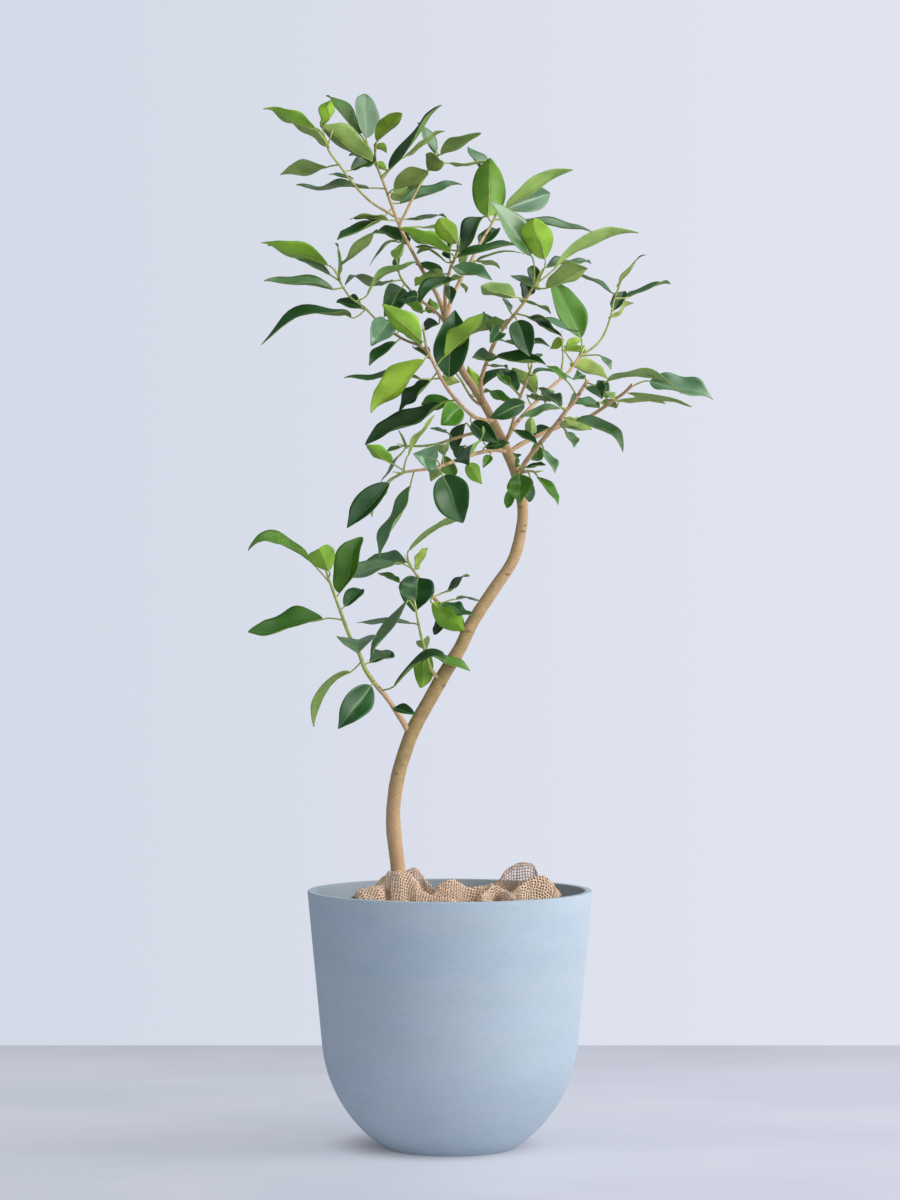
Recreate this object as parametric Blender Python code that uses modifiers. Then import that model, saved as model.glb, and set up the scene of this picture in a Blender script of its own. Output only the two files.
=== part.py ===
"""A potted rusty fig: a round pot of soil under a hessian cover, a leaning trunk, its leafy branches.

The tables and named sizes are in millimetres, and MM turns them into Blender's metres. +Z is up, +X
is to the right and +Y to the back. The origin is the middle of the pot's flat foot.
"""

import math
import random
from collections import namedtuple

import bmesh
import bpy
from mathutils import Matrix, Vector
from mathutils.bvhtree import BVHTree

MM = 0.001
GAP = 0.3  # left between two pieces that touch

# Pot, turned round the Z axis
RIM_RADIUS = 142.5
RIM_HEIGHT = 256
RIM_EDGE = 1.2
WALL = 8
FLOOR = 10
TAPER = math.radians(5.44)
BOWL_TOP = 102  # where the straight side turns into the round bottom
BOWL_RADIUS = 136.3
BOWL_STEPS = 6
TURN_STEPS = 36

# Soil, and the hole that the trunk stands in
SOIL_HEIGHT = 228
HOLE_DEPTH = 40
TRUNK_X = -50
TRUNK_FOOT_RADIUS = 7.8
HOLE_RADIUS = 8.4
HOLE_SIDES = 16

# Hessian cover: a middle, two half widths, and ridges (x, y, x, y, height, half thickness)
COVER_MIDDLE = (10, 2)
COVER_HALF = (104, 108)
COVER_THICKNESS = 3
COVER_CELLS = (15, 10)
COVER_HOLE_RADIUS = 10.5
COVER_HOLE_REACH = 114  # the opening is cut this far above and below its middle
COVER_HOLE_MIDDLE = SOIL_HEIGHT + 60
COVER_RIDGES = (
    (-62, -16, -34, 4, 46, 27),
    (-34, -26, 2, -30, 14, 16),
    (-12, 2, 62, 8, 30, 13),
    (62, 4, 106, 14, 50, 11),
    (-60, 60, 70, 74, 9, 20),
)

# Readings were taken square on from SIGHT away at the height EYE, in the plane of the pot's axis
SIGHT = 3450
EYE = 546
DEPTH_SPREAD = 1.45  # the crown's depth, which one view only hints at
TOWARD_VIEWER = Vector((0, -1, 0))

# Leaf stalks
STALK_HALF_WIDTH = 1.2
STALK_LEAST = 10
STALK_SLANT = 0.45  # how far down the twig a stalk starts, as a share of its reach
ROOT_SINK = 0.7  # of the twig's radius, past its middle
TWIG_END = 3  # the bare end of every twig

# Leaf blades
BLADE_THICKNESS = 0.9
BLADE_WIDTH_SHARE = 0.46
BLADE_SKEW = 0.85  # puts the widest place a little nearer the stalk
BLADE_BLUNTNESS = 0.72
LONG_BLADE = 54
LONG_BLADE_STATIONS = (0.2, 0.5, 0.8)
SHORT_BLADE_STATIONS = (0.28, 0.72)
FOLD = 0.34
ARCH = (0.05, 0.05)  # least and varying rise of the midrib, as shares of its length
MOST_TWIST = 0.35

# How far a leaf leans out of the picture, and how it is moved clear of the others
USUAL_LEAF = 70
MOST_LEAN = 50
LEAN_VARIES = 10
BASE_DEPTH_SHARE = 0.25
VIA_DEPTH_SHARE = 0.6
CLEARANCE = 1.6
DEPTH_SHIFTS = (0, 10, -10, 20, -20, 30, -30, 42, -42, 55, -55, 70, -70, 85, -85)

# Spare leaves, on the side of a twig that the front view hides
SPARE_PITCH = 62
SPARE_FROM = 0.3
SPARE_SPAN = 0.65
SPARE_SIZE = (52, 70)
SPARE_STALK_SHARE = 0.2
SPARE_REACH = 0.5
SPARE_RISE = (0.1, 0.35)
SPARE_WIDTH = 14
SPARE_DEPTH = 0.8

TWIG_SIDES = 4
TRUNK_SIDES = 8
SEED = 11

Twig = namedtuple("Twig", "collar route leaves")
Leaf = namedtuple("Leaf", "root base via tip across width twist")

# Route points are (x, depth, z, radius)
TRUNK_ROUTE = (
    (TRUNK_X, 0, SOIL_HEIGHT - HOLE_DEPTH + GAP, TRUNK_FOOT_RADIUS),
    (TRUNK_X, 0, SOIL_HEIGHT + 6, 7.6),
    (-52, 0, 276, 7.3),
    (-56.6, -2, 319, 7.2),
    (-56, -3, 345, 7.1),
    (-51.6, -4, 372, 7),
    (-43.4, -5, 399, 7),
    (-35, -5, 420, 6.9),
    (-20, -4, 447, 6.8),
    (-7, -3, 470, 6.8),
    (10, -1, 498, 6.6),
    (22, 1, 523, 6.4),
    (42, 4, 554, 6.2),
    (63, 7, 586, 5.8),
    (71, 9, 616, 5.6),
    (72.5, 10, 640, 5.4),
    (66, 8, 672, 5.3),
    (58, 6, 692, 5.3),
    (53, 5, 703, 5),
    (40, 3, 731, 4.2),
    (26, 1, 755, 4),
    (11, -1, 778, 3.8),
    (2, -3, 806, 3.5),
    (-6, -5, 834, 3.2),
)

# Leaf rows are (base x, base z, tip x, tip z, width as seen, side and tone, [depth], [via x, via z]).
# Side and tone: D, G and M turn the upper face to the front (dark, glossy, mid green); O, B and C the
# under face (olive, bright, mid green). Depth is how far the tip lies behind its twig.
BRANCHES = {
    "branch_top": (
        Twig(
            20,
            (
                (-6, -5, 834, 3.1),
                (-14, -3, 853, 3),
                (-25, 0, 871, 2.8),
                (-37, 3, 893, 2.6),
                (-50, 6, 919, 2.4),
                (-61, 10, 948, 2.1),
                (-66, 12, 962, 1.9),
                (-76, 16, 987, 1.5),
            ),
            (
                (-90, 1012, -124, 1050, 14, "M"),
                (-78, 985, -130, 1021, 20, "O", -35),
                (-84, 1008, -85, 1052, 24, "G"),
                (-73, 1005, -49, 1033, 14, "B"),
                (-73, 1002, -63, 993, 8, "B", 25),
                (-61, 977, -8, 1041, 12, "D", -20),
                (-46, 989, -5, 1015, 4, "O", 25),
                (-81, 958, -154, 961, 9, "G"),
                (-56, 957, -23, 975, 16, "O"),
                (-50, 943, 12, 961, 13, "G"),
                (-44, 927, -3, 928, 5, "G"),
                (-62, 926, -100, 926, 5, "O"),
                (-71, 925, -113, 906, 12, "D"),
                (-84, 986, -101, 990, 4, "D", 45),
                (-73, 983, -63, 975, 8, "B", 35),
                (-42, 902, -57, 914, 13, "D"),
                (-47, 903, -53, 885, 9, "B"),
                (-51, 904, -80, 880, 4, "G", 15, -65, 900),
                (-27, 919, -10, 916, 3, "O", 40),
            ),
        ),
        Twig(
            None,
            (
                (-56, 8, 930, 1.9),
                (-80, -2, 945, 1.8),
                (-99, -10, 965, 1.7),
                (-110, -15, 980, 1.6),
                (-122, -19, 997, 1.4),
                (-120, -22, 1007, 1.2),
            ),
            (
                (-136, 1017, -187, 1037, 10, "B"),
                (-124, 1000, -162, 1026, 9, "O", 30),
                (-127, 1021, -118, 1046, 12, "B"),
                (-123, 979, -170, 971, 11, "O"),
                (-99, 968, -121, 971, 5, "G", 40),
            ),
        ),
        Twig(
            None,
            (
                (-50, 6, 922, 2),
                (-37, 10, 948, 1.9),
                (-29, 14, 963, 1.8),
                (-22, 17, 974, 1.6),
                (-15, 20, 989, 1.3),
            ),
            (
                (-13, 991, -33, 1023, 10, "G"),
                (-9, 992, 31, 1013, 10, "O"),
                (-22, 976, -14, 990, 21, "O", -50),
                (-1, 983, 48, 977, 4, "O"),
            ),
        ),
    ),
    "branch_top_middle": (
        Twig(
            22,
            (
                (-4, -5, 828, 3),
                (-5, -16, 849, 2.8),
                (-4, -22, 862, 2.4),
                (1, -27, 879, 2.1),
                (5, -30, 888, 1.8),
                (8, -33, 898, 1.5),
            ),
            (
                (-2, 894, -50, 917, 12, "B"),
                (7, 903, -11, 927, 20, "B"),
                (9, 893, 38, 929, 18, "D"),
                (7, 889, 71, 900, 10, "D"),
                (0, 888, 1, 910, 8, "D"),
                (3, 879, 42, 866, 16, "G"),
                (-3, 869, -31, 843, 16, "D"),
                (0, 866, 11, 869, 4, "O", -40),
                (-1, 860, 1, 842, 11, "D", -35),
                (-8, 871, -34, 881, 11, "D"),
                (-9, 897, -33, 898, 3, "G"),
                (-5, 885, -33, 892, 4, "O", 30, -19, 895),
            ),
        ),
    ),
    "branch_top_right": (
        Twig(
            26,
            (
                (-4, -4, 826, 3),
                (2, 8, 848, 2.8),
                (11, 16, 867, 2.6),
                (21, 22, 885, 2.3),
                (29, 27, 901, 2.1),
                (40, 33, 919, 1.9),
                (49, 40, 936, 1.5),
            ),
            (
                (38, 930, 40, 988, 34, "C", -15),
                (42, 956, 19, 998, 16, "G", 25),
                (58, 937, 100, 953, 27, "G"),
                (56, 939, 123, 976, 12, "O", -12),
                (14, 881, 17, 893, 8, "O"),
                (26, 885, 75, 892, 4, "G", 20, 45, 893),
                (26, 885, 50, 877, 4, "O", 45),
                (11, 863, 16, 853, 5, "O", 35),
                (72, 926, 144, 912, 10, "G"),
            ),
        ),
    ),
    "twig_fork_left": (
        Twig(
            12,
            (
                (-2, -3, 820, 2.6),
                (-12, 6, 832, 2.3),
                (-27, 15, 844, 2),
                (-34, 19, 850, 1.9),
                (-45, 25, 862, 1.7),
                (-50, 28, 870, 1.5),
                (-52, 30, 878, 1.2),
            ),
            (
                (-58, 865, -105, 861, 5, "G"),
                (-33, 849, -53, 846, 12, "D", -35),
                (-27, 866, -35, 860, 8, "B", 35),
                (-27, 835, -45, 843, 9, "B", 30),
                (-17, 834, -20, 848, 14, "B", 30),
                (-12, 822, -25, 818, 12, "D", 40),
                (-48, 858, -66, 829, 24, "D"),
                (-52, 878, -46, 900, 9, "M"),
            ),
        ),
    ),
    "branch_upper_right": (
        Twig(
            24,
            (
                (34, 2, 741, 3.2),
                (31, -12, 760, 3.1),
                (32, -18, 770, 3),
                (39, -26, 790, 2.8),
                (45, -31, 804, 2.6),
                (55, -36, 820, 2.4),
                (64, -40, 831, 2.2),
                (75, -44, 845, 2),
                (82, -47, 857, 1.8),
                (89, -50, 868, 1.5),
            ),
            (
                (81, 891, 39, 945, 22, "G", -30),
                (65, 849, 31, 860, 16, "O"),
                (60, 835, 53, 848, 6, "G", 30),
                (95, 887, 83, 927, 29, "B"),
                (104, 877, 189, 913, 9, "O", 10, 134, 900),
                (97, 879, 141, 882, 10, "G", 30),
                (96, 858, 138, 877, 16, "O"),
                (88, 862, 81, 880, 12, "D", 30),
                (88, 857, 60, 870, 10, "G"),
                (80, 829, 135, 813, 6, "G"),
                (78, 829, 111, 810, 10, "D"),
                (72, 846, 101, 832, 4, "O"),
                (67, 825, 80, 789, 24, "D", -30),
                (55, 805, 100, 799, 8, "G"),
                (44, 789, 22, 788, 12, "D"),
                (46, 790, 96, 781, 14, "D"),
                (39, 781, 58, 777, 4, "G", -45),
                (49, 814, 40, 803, 15, "D", -40),
                (55, 825, 22, 812, 14, "O"),
            ),
        ),
    ),
    "twig_middle_right": (
        Twig(
            13,
            (
                (54, 5, 702, 2.8),
                (60, -3, 714, 2.6),
                (64, -8, 728, 2.4),
                (69, -10, 746, 2.2),
                (77, -12, 766, 1.9),
                (81, -14, 778, 1.5),
            ),
            (
                (84, 772, 125, 766, 4, "G", -15, 97, 776),
                (62, 744, 33, 753, 9, "M"),
                (74, 742, 40, 728, 18, "D", -25),
                (64, 716, 88, 700, 9, "D", -30),
                (80, 784, 92, 792, 7, "D", 25),
                (60, 760, 46, 772, 8, "M", 20),
            ),
        ),
    ),
    "branch_right_back": (
        Twig(
            16,
            (
                (53, 5, 700, 3.2),
                (60, 18, 713, 3),
                (68, 28, 725, 2.9),
                (82, 42, 740, 2.7),
                (99, 54, 757, 2.5),
                (112, 62, 768, 2.3),
                (121, 67, 777, 2.1),
                (131, 72, 792, 1.8),
            ),
            (
                (86, 753, 63, 778, 16, "O"),
                (122, 782, 158, 767, 14, "O"),
                (151, 790, 161, 776, 8, "G", -30),
                (131, 808, 103, 864, 30, "M"),
                (78, 750, 100, 744, 6, "D"),
                (114, 798, 137, 792, 9, "B", 45),
            ),
        ),
        Twig(
            None,
            (
                (130, 71, 789, 1.7),
                (150, 78, 805, 1.6),
                (160, 80, 827, 1.5),
                (164, 81, 845, 1.4),
                (170, 82, 862, 1.2),
            ),
            (
                (161, 854, 119, 879, 6, "G"),
                (169, 863, 196, 891, 5, "O"),
                (178, 849, 221, 862, 9, "D"),
                (161, 829, 184, 843, 6, "O", 35),
            ),
        ),
        Twig(
            None,
            ((110, 61, 766, 1.7), (113, 68, 788, 1.5), (112, 73, 806, 1.2)),
            ((112, 806, 100, 797, 10, "B", 30), (116, 800, 132, 806, 8, "B", 35)),
        ),
    ),
    "branch_right_front": (
        Twig(
            14,
            (
                (67, 8, 668, 3.8),
                (75, -4, 683, 3.6),
                (87, -14, 699, 3.4),
                (98, -22, 712, 3.3),
                (108, -28, 724, 3.1),
                (117, -33, 736, 3),
                (125, -36, 746, 2.9),
                (138, -40, 766, 2.7),
            ),
            (
                (157, 765, 232, 752, 8, "O", -15, 192, 772),
                (109, 738, 71, 729, 8, "G", -15),
                (111, 739, 88, 758, 12, "D"),
                (116, 766, 96, 780, 7, "M"),
                (126, 726, 173, 694, 14, "D", -20, 152, 718),
                (145, 760, 152, 747, 18, "D", -45),
                (133, 771, 123, 766, 10, "D", -35),
                (94, 696, 105, 673, 10, "G"),
            ),
        ),
    ),
    "branch_right_long": (
        Twig(
            14,
            (
                (58, 6, 692, 3.6),
                (68, 17, 700, 3.4),
                (83, 27, 708, 3.2),
                (100, 34, 716, 3.1),
                (118, 39, 723, 3),
                (138, 37, 729, 2.8),
                (150, 32, 736, 2.6),
                (164, 22, 746, 2.4),
                (174, 12, 753, 2.3),
                (183, 2, 762, 2.2),
            ),
            (
                (200, 765, 263, 746, 22, "G"),
                (179, 753, 242, 739, 5, "O", 20),
                (167, 745, 216, 742, 6, "O", 40),
                (167, 741, 150, 743, 8, "O", 35),
                (164, 747, 155, 754, 8, "O", -45),
                (147, 744, 118, 741, 14, "D"),
                (100, 718, 82, 713, 12, "D", 35),
                (104, 718, 131, 720, 7, "D", 35),
                (117, 714, 124, 698, 12, "G"),
                (85, 703, 88, 685, 14, "M", 30),
                (80, 712, 82, 731, 12, "O", 30),
            ),
        ),
    ),
    "branch_left_high": (
        Twig(
            18,
            (
                (43, 3, 725, 3),
                (29, -12, 727, 2.9),
                (18, -22, 734, 2.8),
                (3, -36, 750, 2.6),
                (-8, -46, 766, 2.4),
                (-15, -54, 780, 2.2),
                (-23, -62, 797, 1.9),
                (-26, -68, 812, 1.4),
            ),
            (
                (-29, 806, -68, 842, 20, "B", -25),
                (-29, 800, -53, 824, 12, "M", 25),
                (-1, 769, 5, 836, 34, "D", 5),
                (-5, 790, 34, 833, 17, "B", -15),
                (-29, 767, -106, 768, 9, "D", -10),
                (-26, 786, -79, 733, 22, "B", -10),
                (-20, 765, -51, 734, 14, "D", 25),
                (-10, 742, -85, 701, 19, "D", -5),
                (0, 745, -29, 742, 16, "M", 30),
                (10, 738, -9, 721, 24, "M", -25),
                (-21, 788, -36, 798, 10, "D", 45),
                (22, 723, 48, 704, 18, "D", -25),
            ),
        ),
        Twig(
            None,
            (
                (-21, -59, 792, 2),
                (-30, -54, 800, 2),
                (-47, -46, 807, 1.9),
                (-68, -38, 821, 1.8),
                (-85, -32, 838, 1.7),
                (-100, -28, 849, 1.5),
                (-110, -25, 864, 1.3),
                (-112, -24, 869, 1.1),
            ),
            (
                (-122, 881, -189, 903, 14, "B"),
                (-121, 872, -182, 900, 10, "D", 35),
                (-117, 857, -186, 865, 12, "G", -15),
                (-99, 829, -189, 801, 13, "D", -10, -131, 836),
                (-108, 882, -66, 912, 8, "O"),
                (-112, 870, -115, 903, 4, "M"),
                (-62, 824, -79, 800, 24, "G"),
                (-54, 804, -81, 780, 12, "D"),
                (-53, 818, -68, 824, 7, "D", 40),
                (-83, 851, -32, 884, 6, "O", 15, -62, 874),
            ),
        ),
    ),
    "branch_left_middle": (
        Twig(
            14,
            (
                (51, 4, 708, 2.8),
                (38, 14, 714, 2.6),
                (20, 20, 712, 2.4),
                (0, 22, 706, 2.2),
                (-13, 22, 702, 2),
                (-28, 22, 700, 1.8),
                (-45, 22, 700, 1.4),
            ),
            (
                (-4, 714, -20, 718, 4, "G", 30),
                (-46, 696, -69, 664, 5, "G"),
                (15, 722, 2, 696, 14, "D", 20),
                (-45, 700, -52, 716, 4, "O"),
                (-50, 699, -64, 693, 5, "M", 30),
            ),
        ),
    ),
    "branch_left_low": (
        Twig(
            15,
            (
                (57, 6, 694, 3),
                (46, -8, 696, 2.9),
                (28, -24, 693, 2.8),
                (13, -36, 688, 2.6),
                (-9, -48, 680, 2.4),
                (-23, -53, 677, 2.2),
                (-38, -57, 675, 1.9),
                (-50, -60, 673, 1.5),
            ),
            (
                (-59, 683, -83, 701, 12, "B"),
                (-61, 663, -103, 618, 22, "D", -10),
                (-40, 660, -71, 587, 13, "G", 5),
                (-7, 670, 13, 623, 36, "D", -15),
                (-42, 691, -15, 731, 5, "O", 10),
                (-14, 686, -37, 692, 27, "G", -45),
                (-6, 690, 3, 668, 14, "M", 30),
                (14, 700, 5, 689, 13, "D", 25),
                (31, 706, 19, 681, 14, "D"),
                (18, 682, 32, 662, 15, "B", 30),
                (40, 690, 33, 678, 9, "M", -30),
                (-64, 662, -78, 629, 8, "B", 30),
                (36, 699, 60, 703, 10, "D", -30),
            ),
        ),
    ),
    "twig_middle": (
        Twig(
            12,
            (
                (35, 2, 740, 2.2),
                (26, 14, 744, 2),
                (19, 20, 752, 1.8),
                (11, 22, 766, 1.5),
                (5, 23, 774, 1.2),
            ),
            (
                (27, 752, 69, 769, 10, "D", 25, 45, 772),
                (5, 776, -4, 800, 9, "D"),
                (26, 758, 18, 780, 14, "B", 30),
            ),
        ),
    ),
    "spur_trunk": (
        Twig(
            11,
            (
                (70, 9, 655, 2.8),
                (67, -4, 664, 2.6),
                (70, -13, 672, 2.3),
                (78, -17, 675, 2),
                (86, -18, 674, 1.5),
            ),
            (
                (69, 672, 70, 643, 26, "M", -25),
                (62, 658, 57, 638, 10, "M", 10),
                (81, 664, 79, 644, 11, "G", 20),
                (76, 679, 96, 681, 5, "D", -30),
                (88, 669, 108, 641, 10, "M"),
                (68, 682, 63, 693, 8, "D", -30),
            ),
        ),
    ),
    "branch_low_left": (
        Twig(
            16,
            (
                (-39, -5, 411, 4),
                (-52, -10, 432, 3.8),
                (-63, -14, 448, 3.5),
                (-74, -17, 461, 3.3),
                (-85, -20, 477, 3),
                (-91, -22, 493, 2.8),
                (-100, -24, 509, 2.6),
                (-110, -27, 536, 2.2),
                (-117, -29, 555, 1.9),
                (-123, -31, 572, 1.5),
            ),
            (
                (-141, 586, -202, 595, 12, "M", -10, -172, 605),
                (-121, 575, -131, 597, 26, "B", -40),
                (-111, 553, -88, 609, 24, "M"),
                (-127, 527, -202, 514, 20, "M", 10),
                (-92, 506, -92, 493, 40, "G", -60),
                (-100, 474, -136, 419, 9, "O", 5, -124, 456),
                (-79, 460, -112, 417, 28, "D"),
                (-56, 460, -5, 482, 8, "D", -30, -24, 488),
                (-56, 438, -33, 430, 10, "D", -35),
            ),
        ),
    ),
    "branch_low_middle": (
        Twig(
            14,
            (
                (14, 0, 505, 3.2),
                (9, 8, 520, 3),
                (-12, 14, 544, 2.6),
                (-20, 16, 552, 2.4),
                (-32, 18, 569, 2),
                (-41, 20, 582, 1.5),
            ),
            (
                (-41, 596, 13, 623, 6, "M", 10, -6, 622),
                (-35, 578, -22, 598, 9, "B", 40),
                (-44, 584, -83, 586, 18, "G"),
                (-55, 583, -113, 568, 16, "G"),
                (-32, 568, -36, 534, 36, "D", -30),
                (-51, 564, -72, 572, 7, "M", 40),
                (-8, 553, 20, 570, 7, "D"),
                (-8, 542, 24, 529, 11, "D", -30),
                (6, 547, 30, 544, 5, "G", 35),
                (-4, 529, -16, 511, 10, "D", 30),
                (-18, 543, 14, 515, 24, "B", -30),
            ),
        ),
    ),
    "branch_low_inner": (
        Twig(
            13,
            (
                (-10, -3, 465, 3),
                (-19, -12, 477, 2.7),
                (-24, -16, 491, 2.4),
                (-30, -20, 515, 2),
                (-34, -22, 536, 1.4),
            ),
            (
                (-24, 494, -29, 458, 20, "B", -20),
                (-14, 489, 20, 475, 9, "M", 40),
                (-43, 545, -79, 487, 9, "G"),
                (-40, 523, -93, 523, 5, "G"),
            ),
        ),
    ),
}


def clear_scene():
    for thing in list(bpy.data.objects):
        bpy.data.objects.remove(thing)
    for group in list(bpy.data.collections):
        bpy.data.collections.remove(group)


def collection(name):
    group = bpy.data.collections.new(name)
    bpy.context.scene.collection.children.link(group)
    return group


def finish(name, colour, roughness):
    """A plain Principled finish."""
    material = bpy.data.materials.new(name)
    material.use_nodes = True
    shader = material.node_tree.nodes["Principled BSDF"]
    shader.inputs["Base Color"].default_value = (*colour, 1)
    shader.inputs["Roughness"].default_value = roughness
    material.diffuse_color = (*colour, 1)
    return material


def mesh_object(name, mesh, group, material=None):
    made = bpy.data.objects.new(name, mesh)
    group.objects.link(made)
    if material:
        mesh.materials.clear()
        mesh.materials.append(material)
    return made


def place(x, depth, z):
    """A reading moved out along its line of sight to its real depth, in metres."""
    spread = 1 + depth / SIGHT
    return Vector((x * spread, depth, EYE + (z - EYE) * spread)) * MM


def wall_radius(height):
    return RIM_RADIUS - (RIM_HEIGHT - height) * math.tan(TAPER)


def bowl_centre():
    radius = wall_radius(BOWL_TOP) - BOWL_RADIUS * math.cos(TAPER)
    return radius, BOWL_TOP + BOWL_RADIUS * math.sin(TAPER)


def bowl_arc(inset, lowest):
    """The round bottom from its top to a height, inset from the outer face, as (radius, height)."""
    radius, height = bowl_centre()
    reach = BOWL_RADIUS - inset
    last = math.asin((height - lowest) / reach)
    for step in range(BOWL_STEPS + 1):
        angle = TAPER + (last - TAPER) * step / BOWL_STEPS
        yield radius + reach * math.cos(angle), height - reach * math.sin(angle)


def inner_radius(height, inset):
    return wall_radius(height) - inset / math.cos(TAPER)


def turned(name, profile, group, material):
    """A profile of (radius, height) turned round the Z axis."""
    shape = bmesh.new()
    verts = [shape.verts.new((radius * MM, 0, height * MM)) for radius, height in profile]
    for upper, lower in zip(verts, verts[1:]):
        shape.edges.new((upper, lower))
    mesh = bpy.data.meshes.new(name)
    shape.to_mesh(mesh)
    shape.free()
    made = mesh_object(name, mesh, group, material)
    screw = made.modifiers.new("Turn", "SCREW")
    screw.steps = TURN_STEPS
    screw.render_steps = TURN_STEPS
    screw.use_merge_vertices = True
    screw.merge_threshold = 0.0001
    screw.use_smooth_shade = True
    return made


def make_pot(group):
    inside = list(bowl_arc(WALL, FLOOR))[::-1]
    outside = list(bowl_arc(0, 0))
    profile = [(0, FLOOR)] + inside
    profile += [
        (inner_radius(RIM_HEIGHT - RIM_EDGE, WALL), RIM_HEIGHT - RIM_EDGE),
        (inner_radius(RIM_HEIGHT, WALL) + RIM_EDGE, RIM_HEIGHT),
        (RIM_RADIUS - RIM_EDGE, RIM_HEIGHT),
        (wall_radius(RIM_HEIGHT - RIM_EDGE), RIM_HEIGHT - RIM_EDGE),
    ]
    profile += outside + [(0, 0)]
    turned("pot", profile, group, finish("Matt blue grey pot", (0.32, 0.43, 0.55), 0.75))


def make_soil(group, cutters):
    side = list(bowl_arc(WALL + GAP, FLOOR + GAP))
    profile = [(0, SOIL_HEIGHT), (inner_radius(SOIL_HEIGHT, WALL + GAP), SOIL_HEIGHT)]
    profile += side + [(0, FLOOR + GAP)]
    soil = turned("soil", profile, group, finish("Dark potting soil", (0.06, 0.04, 0.03), 0.95))
    depth = 2 * HOLE_DEPTH * MM
    bpy.ops.mesh.primitive_cylinder_add(
        vertices=HOLE_SIDES,
        radius=HOLE_RADIUS * MM,
        depth=depth,
        location=(TRUNK_X * MM, 0, SOIL_HEIGHT * MM),
    )
    cut(soil, bpy.context.object, "trunk hole", cutters)


def cut(target, cutter, name, cutters):
    cutter.name = name
    for group in list(cutter.users_collection):
        group.objects.unlink(cutter)
    cutters.objects.link(cutter)
    cutter.hide_render = True
    cutter.display_type = "WIRE"
    difference = target.modifiers.new(name, "BOOLEAN")
    difference.operation = "DIFFERENCE"
    difference.object = cutter


def ridge(x, y, x1, y1, x2, y2, height, spread):
    """The height that one rounded ridge of cloth adds at a point."""
    run = Vector((x2 - x1, y2 - y1))
    share = max(0, min(1, Vector((x - x1, y - y1)).dot(run) / run.length_squared))
    off = (Vector((x - x1, y - y1)) - run * share).length
    return height * math.exp(-((off / spread) ** 2))


def make_cover(group, cutters):
    """A round piece of cloth: a grid drawn into a disc and lifted by its ridges."""
    shape = bmesh.new()
    bmesh.ops.create_grid(shape, x_segments=COVER_CELLS[0], y_segments=COVER_CELLS[1], size=1)
    for vert in shape.verts:
        u, v = vert.co.x, vert.co.y
        x = COVER_MIDDLE[0] + COVER_HALF[0] * u * math.sqrt(1 - v * v / 2)
        y = COVER_MIDDLE[1] + COVER_HALF[1] * v * math.sqrt(1 - u * u / 2)
        lift = max(ridge(x, y, *numbers) for numbers in COVER_RIDGES)
        vert.co = Vector((x, y, SOIL_HEIGHT + GAP + lift)) * MM
    bmesh.ops.triangulate(shape, faces=shape.faces)
    mesh = bpy.data.meshes.new("hessian_cover")
    shape.to_mesh(mesh)
    shape.free()
    cover = mesh_object("hessian_cover", mesh, group, finish("Hessian", (0.55, 0.38, 0.24), 0.9))
    wall = cover.modifiers.new("Cloth thickness", "SOLIDIFY")
    wall.thickness = COVER_THICKNESS * MM
    wall.offset = 1
    bpy.ops.mesh.primitive_cylinder_add(
        vertices=HOLE_SIDES,
        radius=COVER_HOLE_RADIUS * MM,
        depth=2 * COVER_HOLE_REACH * MM,
        location=(TRUNK_ROUTE[2][0] * MM, 0, COVER_HOLE_MIDDLE * MM),
    )
    cut(cover, bpy.context.object, "trunk opening", cutters)


def tube(name, route, sides, group):
    """A closed tube mesh along a route of (place in metres, radius in millimetres)."""
    curve = bpy.data.curves.new(name, "CURVE")
    curve.dimensions = "3D"
    curve.bevel_depth = MM
    curve.bevel_resolution = sides // 2 - 2
    curve.use_fill_caps = True
    spline = curve.splines.new("POLY")
    spline.points.add(len(route) - 1)
    for point, (where, radius) in zip(spline.points, route):
        point.co = (*where, 1)
        point.radius = radius
    guide = bpy.data.objects.new(name, curve)
    group.objects.link(guide)
    mesh = evaluated_mesh(guide)
    bpy.data.objects.remove(guide)
    bpy.data.curves.remove(curve)
    shape = bmesh.new()
    shape.from_mesh(mesh)
    bmesh.ops.remove_doubles(shape, verts=shape.verts, dist=0.00001)
    shape.to_mesh(mesh)
    shape.free()
    return mesh_object(name, mesh, group)


def evaluated_mesh(thing):
    bpy.context.view_layer.update()
    graph = bpy.context.evaluated_depsgraph_get()
    return bpy.data.meshes.new_from_object(thing.evaluated_get(graph))


def is_closed(mesh):
    shape = bmesh.new()
    shape.from_mesh(mesh)
    closed = all(len(edge.link_faces) == 2 for edge in shape.edges)
    shape.free()
    return closed


def union(body, others):
    """Joins a collection's objects to the body and removes them."""
    join = body.modifiers.new("Grown together", "BOOLEAN")
    join.operation = "UNION"
    join.operand_type = "COLLECTION"
    join.collection = others
    mesh = evaluated_mesh(body)
    if not is_closed(mesh):
        join.solver = "MANIFOLD"
        mesh = evaluated_mesh(body)
    body.modifiers.remove(join)
    body.data = mesh
    for thing in list(others.objects):
        bpy.data.objects.remove(thing)
    bpy.data.collections.remove(others)


def deepened(twigs):
    """The twigs of a branch with their depths spread out from where it leaves the trunk."""
    start = twigs[0].route[0][1]
    return [
        twig._replace(
            route=[
                (x, start + (depth - start) * DEPTH_SPREAD, z, radius)
                for x, depth, z, radius in twig.route
            ]
        )
        for twig in twigs
    ]


def placed(route):
    return [(place(x, depth, z), radius) for x, depth, z, radius in route]


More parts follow.
